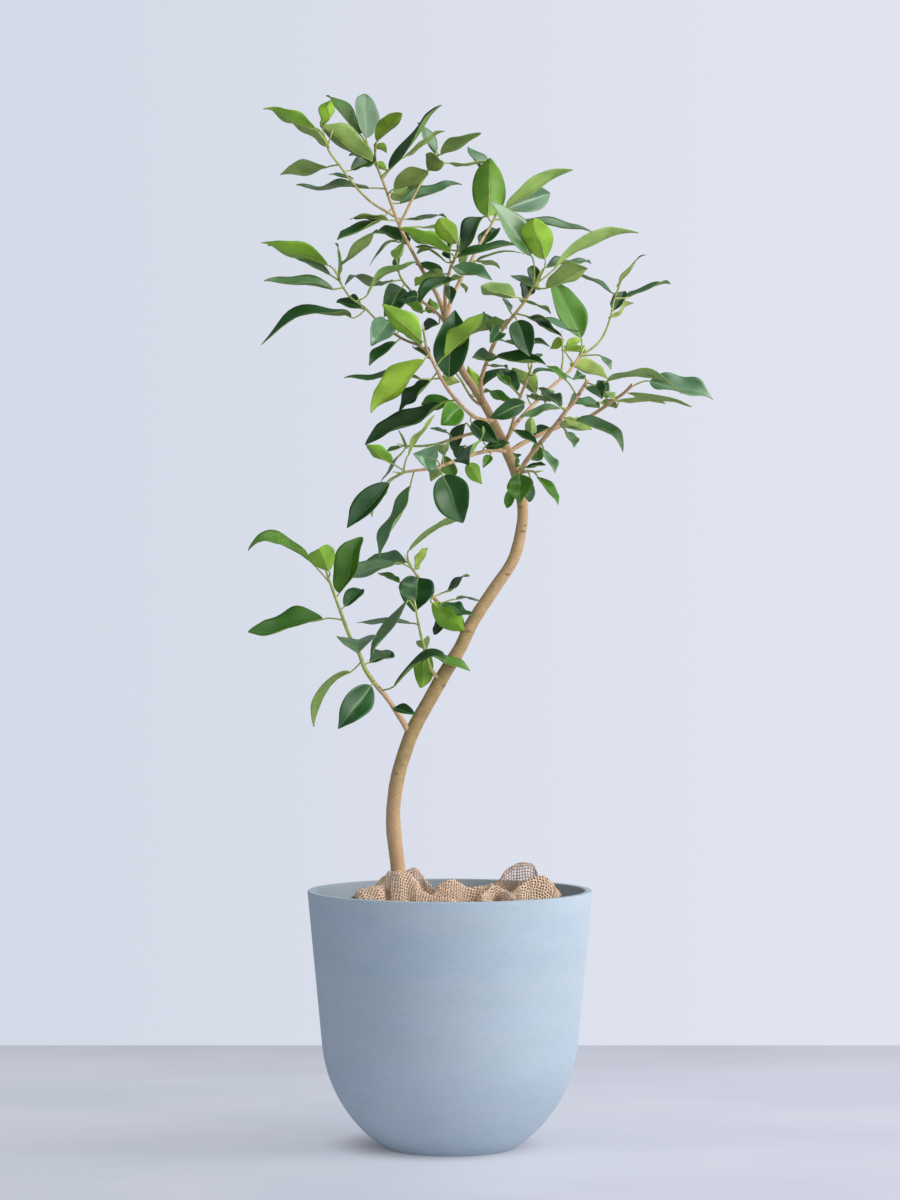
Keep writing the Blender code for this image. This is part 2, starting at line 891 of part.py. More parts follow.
def split_at(route, length):
    """The route's first stretch of this many millimetres, and the rest after a gap."""
    points = placed(route)
    start, end = [points[0]], []
    gone = 0
    for (here, thin), (there, thick) in zip(points, points[1:]):
        step = (there - here).length / MM
        if gone <= length < gone + step:
            for offset, part in ((0, start), (GAP, end)):
                share = (length + offset - gone) / step
                part.append((here.lerp(there, share), thin + (thick - thin) * share))
        if gone + step <= length:
            start.append((there, thick))
        else:
            end.append((there, thick))
        gone += step
    return start, end


def nearest_on(route, x, z):
    """Where a route passes nearest to a reading: the distance along it, and the distance off it."""
    best = None
    gone = 0
    for (ax, _, az, _), (bx, _, bz, _) in zip(route, route[1:]):
        run = Vector((bx - ax, bz - az))
        share = max(0, min(1, Vector((x - ax, z - az)).dot(run) / run.length_squared))
        off = (Vector((x - ax, z - az)) - run * share).length
        if best is None or off < best[1]:
            best = (gone + run.length * share, off, run.normalized())
        gone += run.length
    return best


def at_along(route, along):
    """The (x, depth, z, radius) of a route this far along it, as read from the front."""
    gone = 0
    for start, end in zip(route, route[1:]):
        step = math.hypot(end[0] - start[0], end[2] - start[2])
        if along <= gone + step or end is route[-1]:
            share = min(1, (along - gone) / step)
            return [a + (b - a) * share for a, b in zip(start, end)]
        gone += step


def route_length(route):
    return sum(math.hypot(b[0] - a[0], b[2] - a[2]) for a, b in zip(route, route[1:]))


def leaf_from(twig, row, shift, chance):
    """Works out one leaf from its row, a further depth for its tip, and its own three random numbers."""
    bx, bz, tx, tz, seen, tone = row[:6]
    faces_front = tone in "DGM"
    drawn = math.hypot(tx - bx, tz - bz)
    if len(row) > 6:
        depth = row[6]
    else:
        lean = min(MOST_LEAN, math.sqrt(max(0, USUAL_LEAF**2 - drawn**2)))
        rising = tz >= bz
        depth = lean if rising == faces_front else -lean
        depth += LEAN_VARIES * chance[0]
    depth += shift
    along, off, run = nearest_on(twig.route, bx, bz)
    toward = Vector((tx - bx, tz - bz)).dot(run)
    along -= STALK_SLANT * off * (1 if toward >= 0 else -1)
    first = (twig.collar or 0) + TWIG_END
    along = max(first, min(route_length(twig.route) - TWIG_END, along))
    rx, ry, rz, radius = at_along(twig.route, along)
    out = math.sqrt(max(0, STALK_LEAST**2 - (bx - rx) ** 2 - (bz - rz) ** 2))
    base_depth = ry + BASE_DEPTH_SHARE * depth + (out if depth > 0 else -out)
    root = place(rx, ry, rz)
    base = place(bx, base_depth, bz)
    root -= (base - root).normalized() * (ROOT_SINK * radius * MM)
    tip = place(tx, ry + depth, tz)
    way = (tip - base).normalized()
    front = (TOWARD_VIEWER - way * TOWARD_VIEWER.dot(way)).normalized()
    level = way.cross(front)
    if level.z < 0:
        level.negate()
    width = max(seen, BLADE_WIDTH_SHARE * (tip - base).length / MM)
    share = seen / width * (1 if faces_front else -1)
    up = front * share + level * math.sqrt(1 - share * share)
    if len(row) > 8:
        via = place(row[7], ry + VIA_DEPTH_SHARE * depth, row[8])
    else:
        arch = (ARCH[0] + ARCH[1] * chance[1]) * (tip - base).length
        via = (base + tip) / 2 + up * arch
    return Leaf(root, base, via, tip, way.cross(up), width, MOST_TWIST * chance[2])


def blade_half(share):
    """Half of the blade's width at a share of its length, as a share of its full half width."""
    return max(0, math.sin(math.pi * share**BLADE_SKEW)) ** BLADE_BLUNTNESS


def leaf_rows(leaf, lift=0):
    """Rows of three points along the leaf, from its sunk root to its tip, lifted off its face."""
    control = 2 * leaf.via - (leaf.base + leaf.tip) / 2
    stalk = (leaf.base - leaf.root).normalized()
    stations = [(leaf.root, stalk, 0, 0), (leaf.base, stalk, STALK_HALF_WIDTH, 0)]
    long = (leaf.tip - leaf.base).length > LONG_BLADE * MM
    for share in (*(LONG_BLADE_STATIONS if long else SHORT_BLADE_STATIONS), 1):
        here = leaf.base.lerp(control, share).lerp(control.lerp(leaf.tip, share), share)
        way = (control - leaf.base).lerp(leaf.tip - control, share).normalized()
        stations.append((here, way, blade_half(share) * leaf.width / 2, share - 0.5))
    rows = []
    for here, way, half, turn in stations:
        across = leaf.across - way * leaf.across.dot(way)
        across = Matrix.Rotation(turn * leaf.twist, 3, way) @ across.normalized()
        up = across.cross(way)
        fold = FOLD if half > STALK_HALF_WIDTH else 0
        rows.append(
            [
                here + across * (side * half * MM) + up * ((lift + fold * abs(side) * half) * MM)
                for side in (-1, 0, 1)
            ]
        )
    return rows


def leaf_object(leaf, name, group):
    """One leaf as a thin closed strip, split alike on both faces."""
    rows = leaf_rows(leaf)
    shape = bmesh.new()
    bmesh.ops.create_grid(shape, x_segments=2, y_segments=len(rows) - 1, size=1)
    for vert in shape.verts:
        column = round(vert.co.x + 1)
        row = round((vert.co.y + 1) / 2 * (len(rows) - 1))
        vert.co = rows[row][column]
    bmesh.ops.remove_doubles(shape, verts=shape.verts, dist=0.00001)
    bmesh.ops.triangulate(shape, faces=shape.faces)
    mesh = bpy.data.meshes.new(name)
    shape.to_mesh(mesh)
    shape.free()
    made = mesh_object(name, mesh, group)
    blade = made.modifiers.new("Blade thickness", "SOLIDIFY")
    blade.thickness = BLADE_THICKNESS * MM
    blade.offset = 0
    return made


def fat_tree(leaf, first_row):
    """Both faces of a leaf, moved out by half the clearance, as a tree for finding crossings."""
    points, faces = [], []
    for lift in (-CLEARANCE / 2, CLEARANCE / 2):
        rows = leaf_rows(leaf, lift)[first_row:]
        start = len(points)
        points += [point for row in rows for point in row]
        for row in range(len(rows) - 1):
            for column in (0, 1):
                corner = start + 3 * row + column
                faces.append((corner, corner + 1, corner + 4, corner + 3))
    return BVHTree.FromPolygons(points, faces), bounds(points)


def bounds(points):
    low = Vector([min(point[axis] for point in points) for axis in range(3)])
    high = Vector([max(point[axis] for point in points) for axis in range(3)])
    return low, high


def boxes_meet(a, b):
    return all(a[0][axis] <= b[1][axis] and b[0][axis] <= a[1][axis] for axis in range(3))


def crosses(tree, box, others):
    return any(boxes_meet(box, other[1]) and tree.overlap(other[0]) for other in others)


def mesh_tree(thing):
    points = [vert.co.copy() for vert in thing.data.vertices]
    faces = [tuple(face.vertices) for face in thing.data.polygons]
    return BVHTree.FromPolygons(points, faces), bounds(points)


def spare_rows(twig, chance):
    """Rows for the leaves on the side of a twig that the front view hides."""
    length = route_length(twig.route)
    count = int(length / SPARE_PITCH)
    for number in range(count):
        along = length * (SPARE_FROM + SPARE_SPAN * (number + 0.5) / count)
        x, _, z, _ = at_along(twig.route, along)
        turn = chance.uniform(0, math.tau)
        size = chance.uniform(*SPARE_SIZE)
        dx = SPARE_REACH * size * math.cos(turn)
        dz = size * (SPARE_RISE[0] + SPARE_RISE[1] * math.sin(turn))
        base = (x + SPARE_STALK_SHARE * dx, z + SPARE_STALK_SHARE * dz)
        yield (*base, x + dx, z + dz, SPARE_WIDTH, "D" if dz > 0 else "O", SPARE_DEPTH * size)


def clear_leaf(twig, row, chance, own, foreign):
    """The leaf of a row at the first depth where it crosses nothing.

    Failing that, the first where it crosses only leaves of its own branch; failing that, none."""
    second = None
    for shift in DEPTH_SHIFTS:
        leaf = leaf_from(twig, row, shift, chance)
        tree, box = fat_tree(leaf, 0)
        if crosses(tree, box, foreign):
            continue
        blade, blade_box = fat_tree(leaf, 2)
        if not crosses(blade, blade_box, own):
            return leaf
        second = second or leaf
    return second


def make_tree(group):
    """The trunk with its collars, then each branch with its leaves."""
    bark = finish("Tan bark", (0.55, 0.38, 0.22), 0.8)
    leafy = finish("Fig leaf", (0.1, 0.22, 0.05), 0.45)
    trunk = tube("trunk", placed(TRUNK_ROUTE), TRUNK_SIDES, group)
    collars = collection("collars")
    branches = {name: deepened(twigs) for name, twigs in BRANCHES.items()}
    wood = {}
    for name, twigs in branches.items():
        collar, limb = split_at(twigs[0].route, twigs[0].collar)
        tube(name + " collar", collar, TWIG_SIDES, collars)
        wood[name] = [tube(name, limb, TWIG_SIDES, group)]
        side_group = collection(name + " grown")
        for number, twig in enumerate(twigs[1:]):
            side = tube(f"{name} side {number}", placed(twig.route), TWIG_SIDES, side_group)
            wood[name].append(side)
    union(trunk, collars)
    trunk.data.materials.clear()
    trunk.data.materials.append(bark)
    trees = {name: [mesh_tree(part) for part in parts] for name, parts in wood.items()}
    trees["trunk"] = [mesh_tree(trunk)]
    chance = random.Random(SEED)
    for name, twigs in branches.items():
        grown = bpy.data.collections[name + " grown"]
        own = list(trees[name])
        foreign = [tree for other, found in trees.items() if other != name for tree in found]
        for twig in twigs:
            rows = list(twig.leaves) + list(spare_rows(twig, chance))
            for number, row in enumerate(rows):
                luck = [chance.uniform(-1, 1) for _ in range(3)]
                leaf = clear_leaf(twig, row, luck, own, foreign)
                if leaf is None:
                    continue
                leaf_object(leaf, f"{name} leaf {number}", grown)
                own.append(fat_tree(leaf, 2))
                trees[name].append(fat_tree(leaf, 0))
        body = wood[name][0]
        union(body, grown)
        body.data.materials.clear()
        body.data.materials.append(leafy)


def main():
    clear_scene()
    plant = collection("potted_rusty_fig")
    cutters = collection("cutters")
    make_pot(plant)
    make_soil(plant, cutters)
    make_cover(plant, cutters)
    make_tree(plant)


main()
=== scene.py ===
# %% [markdown]
# # A potted rusty fig
#
# A young rusty fig stands in a round blue-grey pot. Its soil lies under a loose piece of hessian, its
# trunk leans out and bends back, and some two hundred leaves sit on thin twigs. The model's solids are
# loaded as a fixed frame, and each visible piece here is a finer one that stands where its solid does.
#
# The imported solids come in first, in metres, with +Z up and the pot's foot at the origin.

# %% Load the frame
import math
import random
from collections import namedtuple

import bmesh
import bpy
import numpy as np
from mathutils import Matrix, Vector, noise
from mathutils.bvhtree import BVHTree


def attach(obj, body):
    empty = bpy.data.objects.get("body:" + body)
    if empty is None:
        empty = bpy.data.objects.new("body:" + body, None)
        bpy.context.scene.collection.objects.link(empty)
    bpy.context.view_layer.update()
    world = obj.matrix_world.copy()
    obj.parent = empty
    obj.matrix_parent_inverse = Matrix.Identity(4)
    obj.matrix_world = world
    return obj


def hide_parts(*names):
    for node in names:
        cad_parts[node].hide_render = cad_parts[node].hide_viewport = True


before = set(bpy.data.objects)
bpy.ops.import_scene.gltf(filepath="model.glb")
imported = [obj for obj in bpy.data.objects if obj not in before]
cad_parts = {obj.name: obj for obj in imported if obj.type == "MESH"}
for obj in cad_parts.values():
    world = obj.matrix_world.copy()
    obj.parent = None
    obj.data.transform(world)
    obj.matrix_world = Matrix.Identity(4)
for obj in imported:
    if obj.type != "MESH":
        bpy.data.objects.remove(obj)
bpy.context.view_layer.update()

MM = 0.001

# %% [markdown]
# ## Camera
#
# The photograph was taken level and from far off, so its verticals stay upright. A long lens 3.45 m
# away at half the plant's height gives the same drawing. A nearer camera with a short lens would show
# more of the pot's top and spread the crown.

# %% Camera
SIGHT = 3450
EYE = 546
LENS = 103.5


def add_object(name, data):
    made = bpy.data.objects.new(name, data)
    bpy.context.scene.collection.objects.link(made)
    return made


camera_data = bpy.data.cameras.new("camera")
camera_data.lens = LENS
camera_data.clip_end = 50
camera = add_object("camera", camera_data)
camera.location = Vector((0, -SIGHT, EYE)) * MM
camera.rotation_euler = (math.pi / 2, 0, 0)
bpy.context.scene.camera = camera

# %% [markdown]
# ## Helpers for materials
#
# A material is a small tree of nodes. One helper adds a node with its settings and inputs in a single
# call, and a few more cover what every finish here needs: arithmetic, a ramp between two limits, noise,
# and colours laid over each other. Written out by hand, each node would take five lines.


# %% Node helpers
def add(tree, kind, inputs=None, **settings):
    """Adds a node; inputs are numbers, colours or other nodes' outputs."""
    made = tree.nodes.new("ShaderNode" + kind)
    for name, value in settings.items():
        setattr(made, name, value)
    for name, value in (inputs or {}).items():
        if isinstance(value, bpy.types.NodeSocket):
            tree.links.new(value, made.inputs[name])
        else:
            made.inputs[name].default_value = value
    return made


def maths(tree, operation, *values):
    return add(tree, "Math", dict(enumerate(values)), operation=operation).outputs[0]


def vectors(tree, operation, first, second):
    """Arithmetic on two vectors. A distance or a dot product comes out as a number."""
    made = add(tree, "VectorMath", {0: first, 1: second}, operation=operation)
    return made.outputs[1 if operation in ("DISTANCE", "DOT_PRODUCT") else 0]


def coordinates(tree, kind="Object"):
    return add(tree, "TexCoord").outputs[kind]


def axes(tree, vector):
    return add(tree, "SeparateXYZ", {0: vector}).outputs


def stored(tree, name):
    """What the mesh stores on its points under this name."""
    return add(tree, "Attribute", attribute_name=name).outputs


def ramp(tree, value, low, high, start=0.0, end=1.0):
    """Carries low..high over to start..end, smoothly and clamped."""
    limits = {"Value": value, 1: low, 2: high, 3: start, 4: end}
    return add(tree, "MapRange", limits, interpolation_type="SMOOTHSTEP").outputs[0]


def mix(tree, share, first, second, blend="MIX"):
    """Mixes two colours, each of them a socket or plain (red, green, blue)."""
    first, second = ((*tint, 1) if isinstance(tint, tuple) else tint for tint in (first, second))
    inputs = {0: share, 6: first, 7: second}
    return add(tree, "Mix", inputs, data_type="RGBA", blend_type=blend).outputs[2]


def tinted(tree, shade, *layers):
    """Lays colours over a shade, each rising from none to its most as a value nears its second limit."""
    for value, none_at, most_at, most, tint in layers:
        shade = mix(tree, ramp(tree, value, none_at, most_at, 0, most), shade, tint)
    return shade


def cloudy(tree, where, scale, detail=3.0, stretch=None):
    """Noise from 0 to 1 at a scale, on coordinates that may be stretched first."""
    if stretch:
        where = add(tree, "Mapping", {"Vector": where, "Scale": stretch}).outputs[0]
    inputs = {"Vector": where, "Scale": scale, "Detail": detail}
    return add(tree, "TexNoise", inputs).outputs[0]


def cells(tree, where, scale):
    """How far each place is from the middle of its cell."""
    return add(tree, "TexVoronoi", {"Vector": where, "Scale": scale}).outputs["Distance"]


def bump(tree, height, strength, distance):
    inputs = {"Height": height, "Strength": strength, "Distance": distance}
    return add(tree, "Bump", inputs).outputs[0]


def finish(name, **constants):
    """A Principled material with constant values set on its own sockets."""
    material = bpy.data.materials.new(name)
    material.use_nodes = True
    shader = material.node_tree.nodes["Principled BSDF"]
    for socket, value in constants.items():
        shader.inputs[socket.replace("_", " ")].default_value = value
    return material, material.node_tree, shader


def wire(tree, shader, **outputs):
    """Links outputs to the sockets they are named after."""
    for socket, value in outputs.items():
        tree.links.new(value, shader.inputs[socket.replace("_", " ")])


# %% [markdown]
# ## Helpers for meshes
#
# Round things here are profiles spun about an axis, or grids wrapped round a line. A grid already has
# its rows and columns, so a tube is only a matter of saying where each row's ring lies, and a ring of
# no radius closes an end. Curves with a bevel would do as well, but a wrapped grid also carries how
# young the wood is from ring to ring, which the bark's colour reads.


# %% Mesh helpers
SAME_PLACE = 0.000002


def mesh_from(name, shape, *materials):
    mesh = bpy.data.meshes.new(name)
    shape.to_mesh(mesh)
    shape.free()
    for material in materials:
        mesh.materials.append(material)
    return mesh


def piece(name, shape, materials, slot, *stands_for):
    """Turns a bmesh into a smooth-shaded piece that rides on the part and stands for its nodes."""
    mesh = mesh_from(name, shape, *materials)
    mesh.shade_smooth()
    made = add_object(name, mesh)
    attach(made, "root")
    if stands_for:
        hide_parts(*stands_for)
    return made


def thicken(made, thickness):
    wall = made.modifiers.new("Thickness", "SOLIDIFY")
    wall.thickness = thickness * MM
    wall.offset = 0
    return wall


def close_seams(shape):
    bmesh.ops.remove_doubles(shape, verts=shape.verts, dist=SAME_PLACE)
    bmesh.ops.recalc_face_normals(shape, faces=shape.faces)


def rings(points):
    """The direction and two square axes at each point of a line, turning as little as they can."""
    ways = []
    for number in range(len(points)):
        way = points[min(number + 2, len(points) - 1)] - points[max(number - 2, 0)]
        ways.append(way.normalized())
    side = ways[0].orthogonal().normalized()
    for way in ways:
        side = (side - way * side.dot(way)).normalized()
        yield way, side, way.cross(side)


def add_tube(shape, points, radii, sides, young):
    """Wraps a grid round a line of points, with a radius and an age value for each."""
    age = shape.verts.layers.float["young"]
    last = len(points) - 1
    frames = list(rings(points))
    made = bmesh.ops.create_grid(shape, x_segments=sides, y_segments=last, size=1)
    for vert in made["verts"]:
        ring = round((vert.co.y + 1) / 2 * last)
        turn = math.pi * vert.co.x
        _, side, other = frames[ring]
        reach = radii[ring]
        vert[age] = young[ring]
        vert.co = points[ring] + (side * math.cos(turn) + other * math.sin(turn)) * reach


def spun(profile, steps):
    """A profile of (radius, height) in millimetres, turned round the Z axis."""
    shape = bmesh.new()
    verts = [shape.verts.new((radius * MM, 0, height * MM)) for radius, height in profile]
    edges = [shape.edges.new(pair) for pair in zip(verts, verts[1:])]
    bmesh.ops.spin(
        shape,
        geom=verts + edges,
        axis=(0, 0, 1),
        cent=(0, 0, 0),
        angle=math.tau,
        steps=steps,
        use_merge=True,
    )
    close_seams(shape)
    return shape


# %% [markdown]
# ## Stage and light
#
# The plant was shot in a plain pale room: a lavender-white wall, a slightly darker floor, and a big
# soft window at the right that leaves the left sides in shade. A floor plane ends where the wall
# would stand, and the world's own colour is the wall, so nothing blocks the view from behind. What
# lights the plant is set apart from what the camera sees: the world glows from dim at the left to
# bright at the right, which gives far softer shadows than any lamp. What shines back from a waxy leaf
# is a dark room with one broad window. The floor also glows, which is painted light standing in for
# the light all round: it is brighter at the right, and it carries painted shadows under and to the
# left of the pot and painted shade towards its far edge.

# %% Floor, wall colour and lights
WALL_LINE = 0.78
WALL_LEFT = (0.66, 0.70, 0.80)
WALL_RIGHT = (0.76, 0.78, 0.87)
LIGHT_LEFT = (0.33, 0.35, 0.36)
LIGHT_MIDDLE = (0.86, 0.90, 0.95)
LIGHT_RIGHT = (2.55, 2.48, 2.42)
SHEEN_DARK = (0.20, 0.22, 0.24)
SHEEN_BRIGHT = (2.6, 2.6, 2.6)
SHEEN_FROM = Vector((0.62, -0.40, 0.68))
OVERHEAD_LOSS = 0.5
BLACK = (0, 0, 0)
WHITE = (1, 1, 1)
FLOOR_HALF = 3
# Painted light: the floor shines at this strength, though it is no lamp.
FLOOR_PAINTED_LIGHT = 0.75
SHADOW_MIDDLE = (-0.016, 0.012, 0)
LEFT_SHADOW_MIDDLE = (-0.2, 0.1, 0)
LEFT_SHADOW_STRETCH = (1, 3, 1)
KEY_POWER = 30
KEY_PLACE = Vector((2.1, -1.1, 1.9))
KEY_AIM = Vector((0, 0, 0.6))
KEY_SIZE = 1.6

shape = bmesh.new()
bmesh.ops.create_grid(shape, x_segments=4, y_segments=4, size=FLOOR_HALF)
bmesh.ops.translate(shape, vec=(0, WALL_LINE - FLOOR_HALF, 0), verts=shape.verts)

material, tree, shader = finish("pale floor", Roughness=0.8, Emission_Strength=FLOOR_PAINTED_LIGHT)
where = coordinates(tree)
rightward, backward, _ = axes(tree, where)
patches = ramp(tree, cloudy(tree, where, 2.5, 5, (1, 1.6, 1)), 0.3, 0.7)
ground = mix(tree, patches, (0.132, 0.136, 0.156), (0.160, 0.166, 0.188))
# Painted light: the floor's shine grows brighter towards the right, where the window is.
sideways = ramp(tree, rightward, -0.45, 0.45)
painted_floor_light = mix(tree, sideways, (0.490, 0.520, 0.615), (0.572, 0.597, 0.712))
painted_floor_light = mix(tree, maths(tree, "MULTIPLY", patches, 0.11), painted_floor_light, WHITE)
stretched = vectors(tree, "MULTIPLY", where, LEFT_SHADOW_STRETCH)
# Painted shadows under the pot and broadly to its left, and painted shade towards the far edge.
painted_floor_light = tinted(
    tree,
    painted_floor_light,
    (vectors(tree, "DISTANCE", where, SHADOW_MIDDLE), 0.12, 0.045, 0.72, BLACK),
    (vectors(tree, "DISTANCE", stretched, LEFT_SHADOW_MIDDLE), 0.48, 0.1, 0.09, BLACK),
    (backward, 0.4, 0.78, 0.2, BLACK),
)
wire(tree, shader, Base_Color=ground, Emission_Color=painted_floor_light)
floor = add_object("floor", mesh_from("floor", shape, material))

world = bpy.data.worlds.new("room")
bpy.context.scene.world = world
world.use_nodes = True
tree = world.node_tree
toward = coordinates(tree, "Generated")
heading, _, height = axes(tree, toward)
# Painted light: the wall seen by the camera is lighter towards the right, where the window is.
wall = mix(tree, ramp(tree, heading, -0.14, 0.14), WALL_LEFT, WALL_RIGHT)
right_of = maths(tree, "MAXIMUM", heading, 0)
left_of = maths(tree, "MAXIMUM", maths(tree, "MULTIPLY", heading, -1), 0)
light = mix(tree, left_of, mix(tree, right_of, LIGHT_MIDDLE, LIGHT_RIGHT), LIGHT_LEFT)
light = tinted(tree, light, (height, 0.1, 1.0, OVERHEAD_LOSS, BLACK))
rays = add(tree, "LightPath").outputs
facing = vectors(tree, "DOT_PRODUCT", toward, SHEEN_FROM.normalized())
sheen = mix(tree, ramp(tree, facing, 0.35, 0.9), SHEEN_DARK, SHEEN_BRIGHT)
light = mix(tree, rays["Is Glossy Ray"], light, sheen)
wire(tree, tree.nodes["Background"], Color=mix(tree, rays["Is Camera Ray"], light, wall))

key_data = bpy.data.lights.new("window", "AREA")
key_data.shape = "SQUARE"
key_data.size = KEY_SIZE
key_data.energy = KEY_POWER
key_data.color = (1, 0.97, 0.92)
key = add_object("window", key_data)
key.location = KEY_PLACE
key.rotation_euler = (KEY_AIM - KEY_PLACE).to_track_quat("-Z", "Y").to_euler()
bpy.context.scene.view_settings.view_transform = "Standard"

# %% [markdown]
# ## Pot
#
# The pot is a thin-walled planter of a matte, stone-filled plastic: a straight side that tapers to a
# round bottom with a small flat foot, and a flat rim. It could be a lathe job of any kind. Here its
# outline is drawn as two straight sides and two arcs and spun round the Z axis, with the rim's corners
# rounded a little, because that corner catches the light all the way round.

# %% Pot profile
RIM_RADIUS = 142.5
RIM_HEIGHT = 256
WALL = 8
FLOOR = 10
TAPER = math.radians(5.44)
BOWL_TOP = 102
BOWL_RADIUS = 136.3
RIM_ROUNDING = 1.2
FOOT_EDGE = 1  # height of the small bevel round the foot
FOOT_INSET = 1.2
POT_STEPS = 144


def wall_radius(height):
    return RIM_RADIUS - (RIM_HEIGHT - height) * math.tan(TAPER)


def inner_radius(height, inset):
    return wall_radius(height) - inset / math.cos(TAPER)


def bowl_arc(inset, lowest, steps):
    """The round bottom from its top to a height, inset from the outer face, as (radius, height)."""
    middle = wall_radius(BOWL_TOP) - BOWL_RADIUS * math.cos(TAPER)
    height = BOWL_TOP + BOWL_RADIUS * math.sin(TAPER)
    reach = BOWL_RADIUS - inset
    last = math.asin((height - lowest) / reach)
    for step in range(steps + 1):
        angle = TAPER + (last - TAPER) * step / steps
        yield middle + reach * math.cos(angle), height - reach * math.sin(angle)


def rounding(radius, height, start, steps=4):
    """A quarter turn of the rim's corner, from an angle in quarter turns."""
    for step in range(steps + 1):
        angle = (start + step / steps) * math.pi / 2
        yield radius + RIM_ROUNDING * math.cos(angle), height + RIM_ROUNDING * math.sin(angle)


def side(inset, top, bottom, steps=8):
    for step in range(1, steps):
        height = top + (bottom - top) * step / steps
        yield inner_radius(height, inset), height


corner = RIM_HEIGHT - RIM_ROUNDING
outline = [(0, FLOOR)]
outline += list(bowl_arc(WALL, FLOOR, 24))[::-1]
outline += list(side(WALL, BOWL_TOP, corner))
outline += list(rounding(inner_radius(corner, WALL) + RIM_ROUNDING, corner, 1))[::-1]
outline += list(rounding(wall_radius(corner) - RIM_ROUNDING, corner, 0))[::-1]
outline += list(side(0, corner, BOWL_TOP))
outline += list(bowl_arc(0, FOOT_EDGE, 28))
outline += [(outline[-1][0] - FOOT_INSET, 0), (0, 0)]
shape = spun(outline, POT_STEPS)
print("pot faces:", len(shape.faces))

# %% [markdown]
# Its finish is dull blue-grey with soft cloudy patches, smears, fine level strokes and pits, as brushed
# stone-filled plastic has. Noise stretched along the level makes the strokes, and a fine cell pattern
# the pits. Both also tilt the surface a little, which keeps the shading from looking printed. Where the
# surface faces the pot's axis it is the inner wall, which is painted duller and darker as painted shade.

# %% Pot finish
INNER_PAINTED_SHADE = (0.21, 0.25, 0.29)
PIT = (0.18, 0.22, 0.26)

material, tree, shader = finish("matte blue grey pot", Roughness=0.72)
where = coordinates(tree)
patches = cloudy(tree, where, 11, 5, (1, 1, 2.2))
smears = cloudy(tree, where, 5, 4, (1, 1, 5))
strokes = cloudy(tree, where, 70, 5, (1, 1, 7))
grain = cloudy(tree, where, 420, 3)
pits = ramp(tree, cells(tree, where, 260), 0.10, 0.22, 1, 0)
pits = maths(tree, "MULTIPLY", pits, ramp(tree, patches, 0.45, 0.6))
shade = mix(tree, ramp(tree, patches, 0.3, 0.7), (0.360, 0.450, 0.530), (0.405, 0.495, 0.585))
shade = tinted(
    tree,
    shade,
    (smears, 0.5, 0.68, 0.5, (0.335, 0.440, 0.560)),
    (smears, 0.46, 0.3, 0.5, (0.425, 0.505, 0.565)),
    (strokes, 0.35, 0.7, 0.42, (0.440, 0.525, 0.610)),
    (grain, 0.35, 0.7, 0.3, (0.335, 0.420, 0.500)),
)
shade = mix(tree, maths(tree, "MULTIPLY", pits, 0.12), shade, PIT)
# Painted shade: where the surface faces the axis, on the inner wall, its colour is darkened.
outward = vectors(tree, "MULTIPLY", where, (1, 1, 0))
facing = vectors(tree, "DOT_PRODUCT", outward, coordinates(tree, "Normal"))
shade = tinted(tree, shade, (facing, 0, -0.02, 0.6, INNER_PAINTED_SHADE))
height = maths(tree, "MULTIPLY_ADD", grain, 0.4, maths(tree, "MULTIPLY", strokes, 0.8))
height = maths(tree, "SUBTRACT", height, pits)
wire(tree, shader, Base_Color=shade, Normal=bump(tree, height, 0.2, 0.0006))
piece("pot_shell", shape, [material], "pot", "pot")

# %% [markdown]
# ## Soil
#
# The pot is filled with dark potting soil. It shows only round the edge of the cloth, so it needs
# lumps and crumbs on top and plain sides below. A square grid is drawn into a disc, lifted by noise,
# and its rim is extruded down the inside of the pot.

# %% Soil
SOIL_HEIGHT = 228
SOIL_SINK = 1.5
GAP = 0.3
SOIL_CELLS = 96
SOIL_LUMPS = ((22, 3.2), (7, 1.6), (3, 0.8))  # size across and height, in millimetres
SOIL_RINGS = (SOIL_HEIGHT - 8, BOWL_TOP, 52, 24, FLOOR + GAP)


def disc(u, v):
    """Draws the square from -1 to 1 into the round disc of radius 1."""
    return u * math.sqrt(1 - v * v / 2), v * math.sqrt(1 - u * u / 2)


def soil_radius(height):
    if height >= BOWL_TOP:
        return inner_radius(height, WALL + GAP)
    arc = bowl_arc(WALL + GAP, FLOOR + GAP, 60)
    return min(arc, key=lambda spot: abs(spot[1] - height))[0]


def open_edges(shape):
    return [edge for edge in shape.edges if edge.is_boundary]


shape = bmesh.new()
bmesh.ops.create_grid(shape, x_segments=SOIL_CELLS, y_segments=SOIL_CELLS, size=1)
reach = inner_radius(SOIL_HEIGHT, WALL + GAP)
for vert in shape.verts:
    x, y = (value * reach for value in disc(vert.co.x, vert.co.y))
    lift = sum(high * noise.noise(Vector((x, y, 7 * wide)) / wide) for wide, high in SOIL_LUMPS)
    vert.co = Vector((x, y, SOIL_HEIGHT - SOIL_SINK + lift)) * MM
for height in SOIL_RINGS:
    grown = bmesh.ops.extrude_edge_only(shape, edges=open_edges(shape))["geom"]
    for vert in (part for part in grown if isinstance(part, bmesh.types.BMVert)):
        flat = Vector((vert.co.x, vert.co.y, 0)).normalized() * soil_radius(height)
        vert.co = Vector((flat.x, flat.y, height)) * MM
bmesh.ops.edgeloop_fill(shape, edges=open_edges(shape))
close_seams(shape)

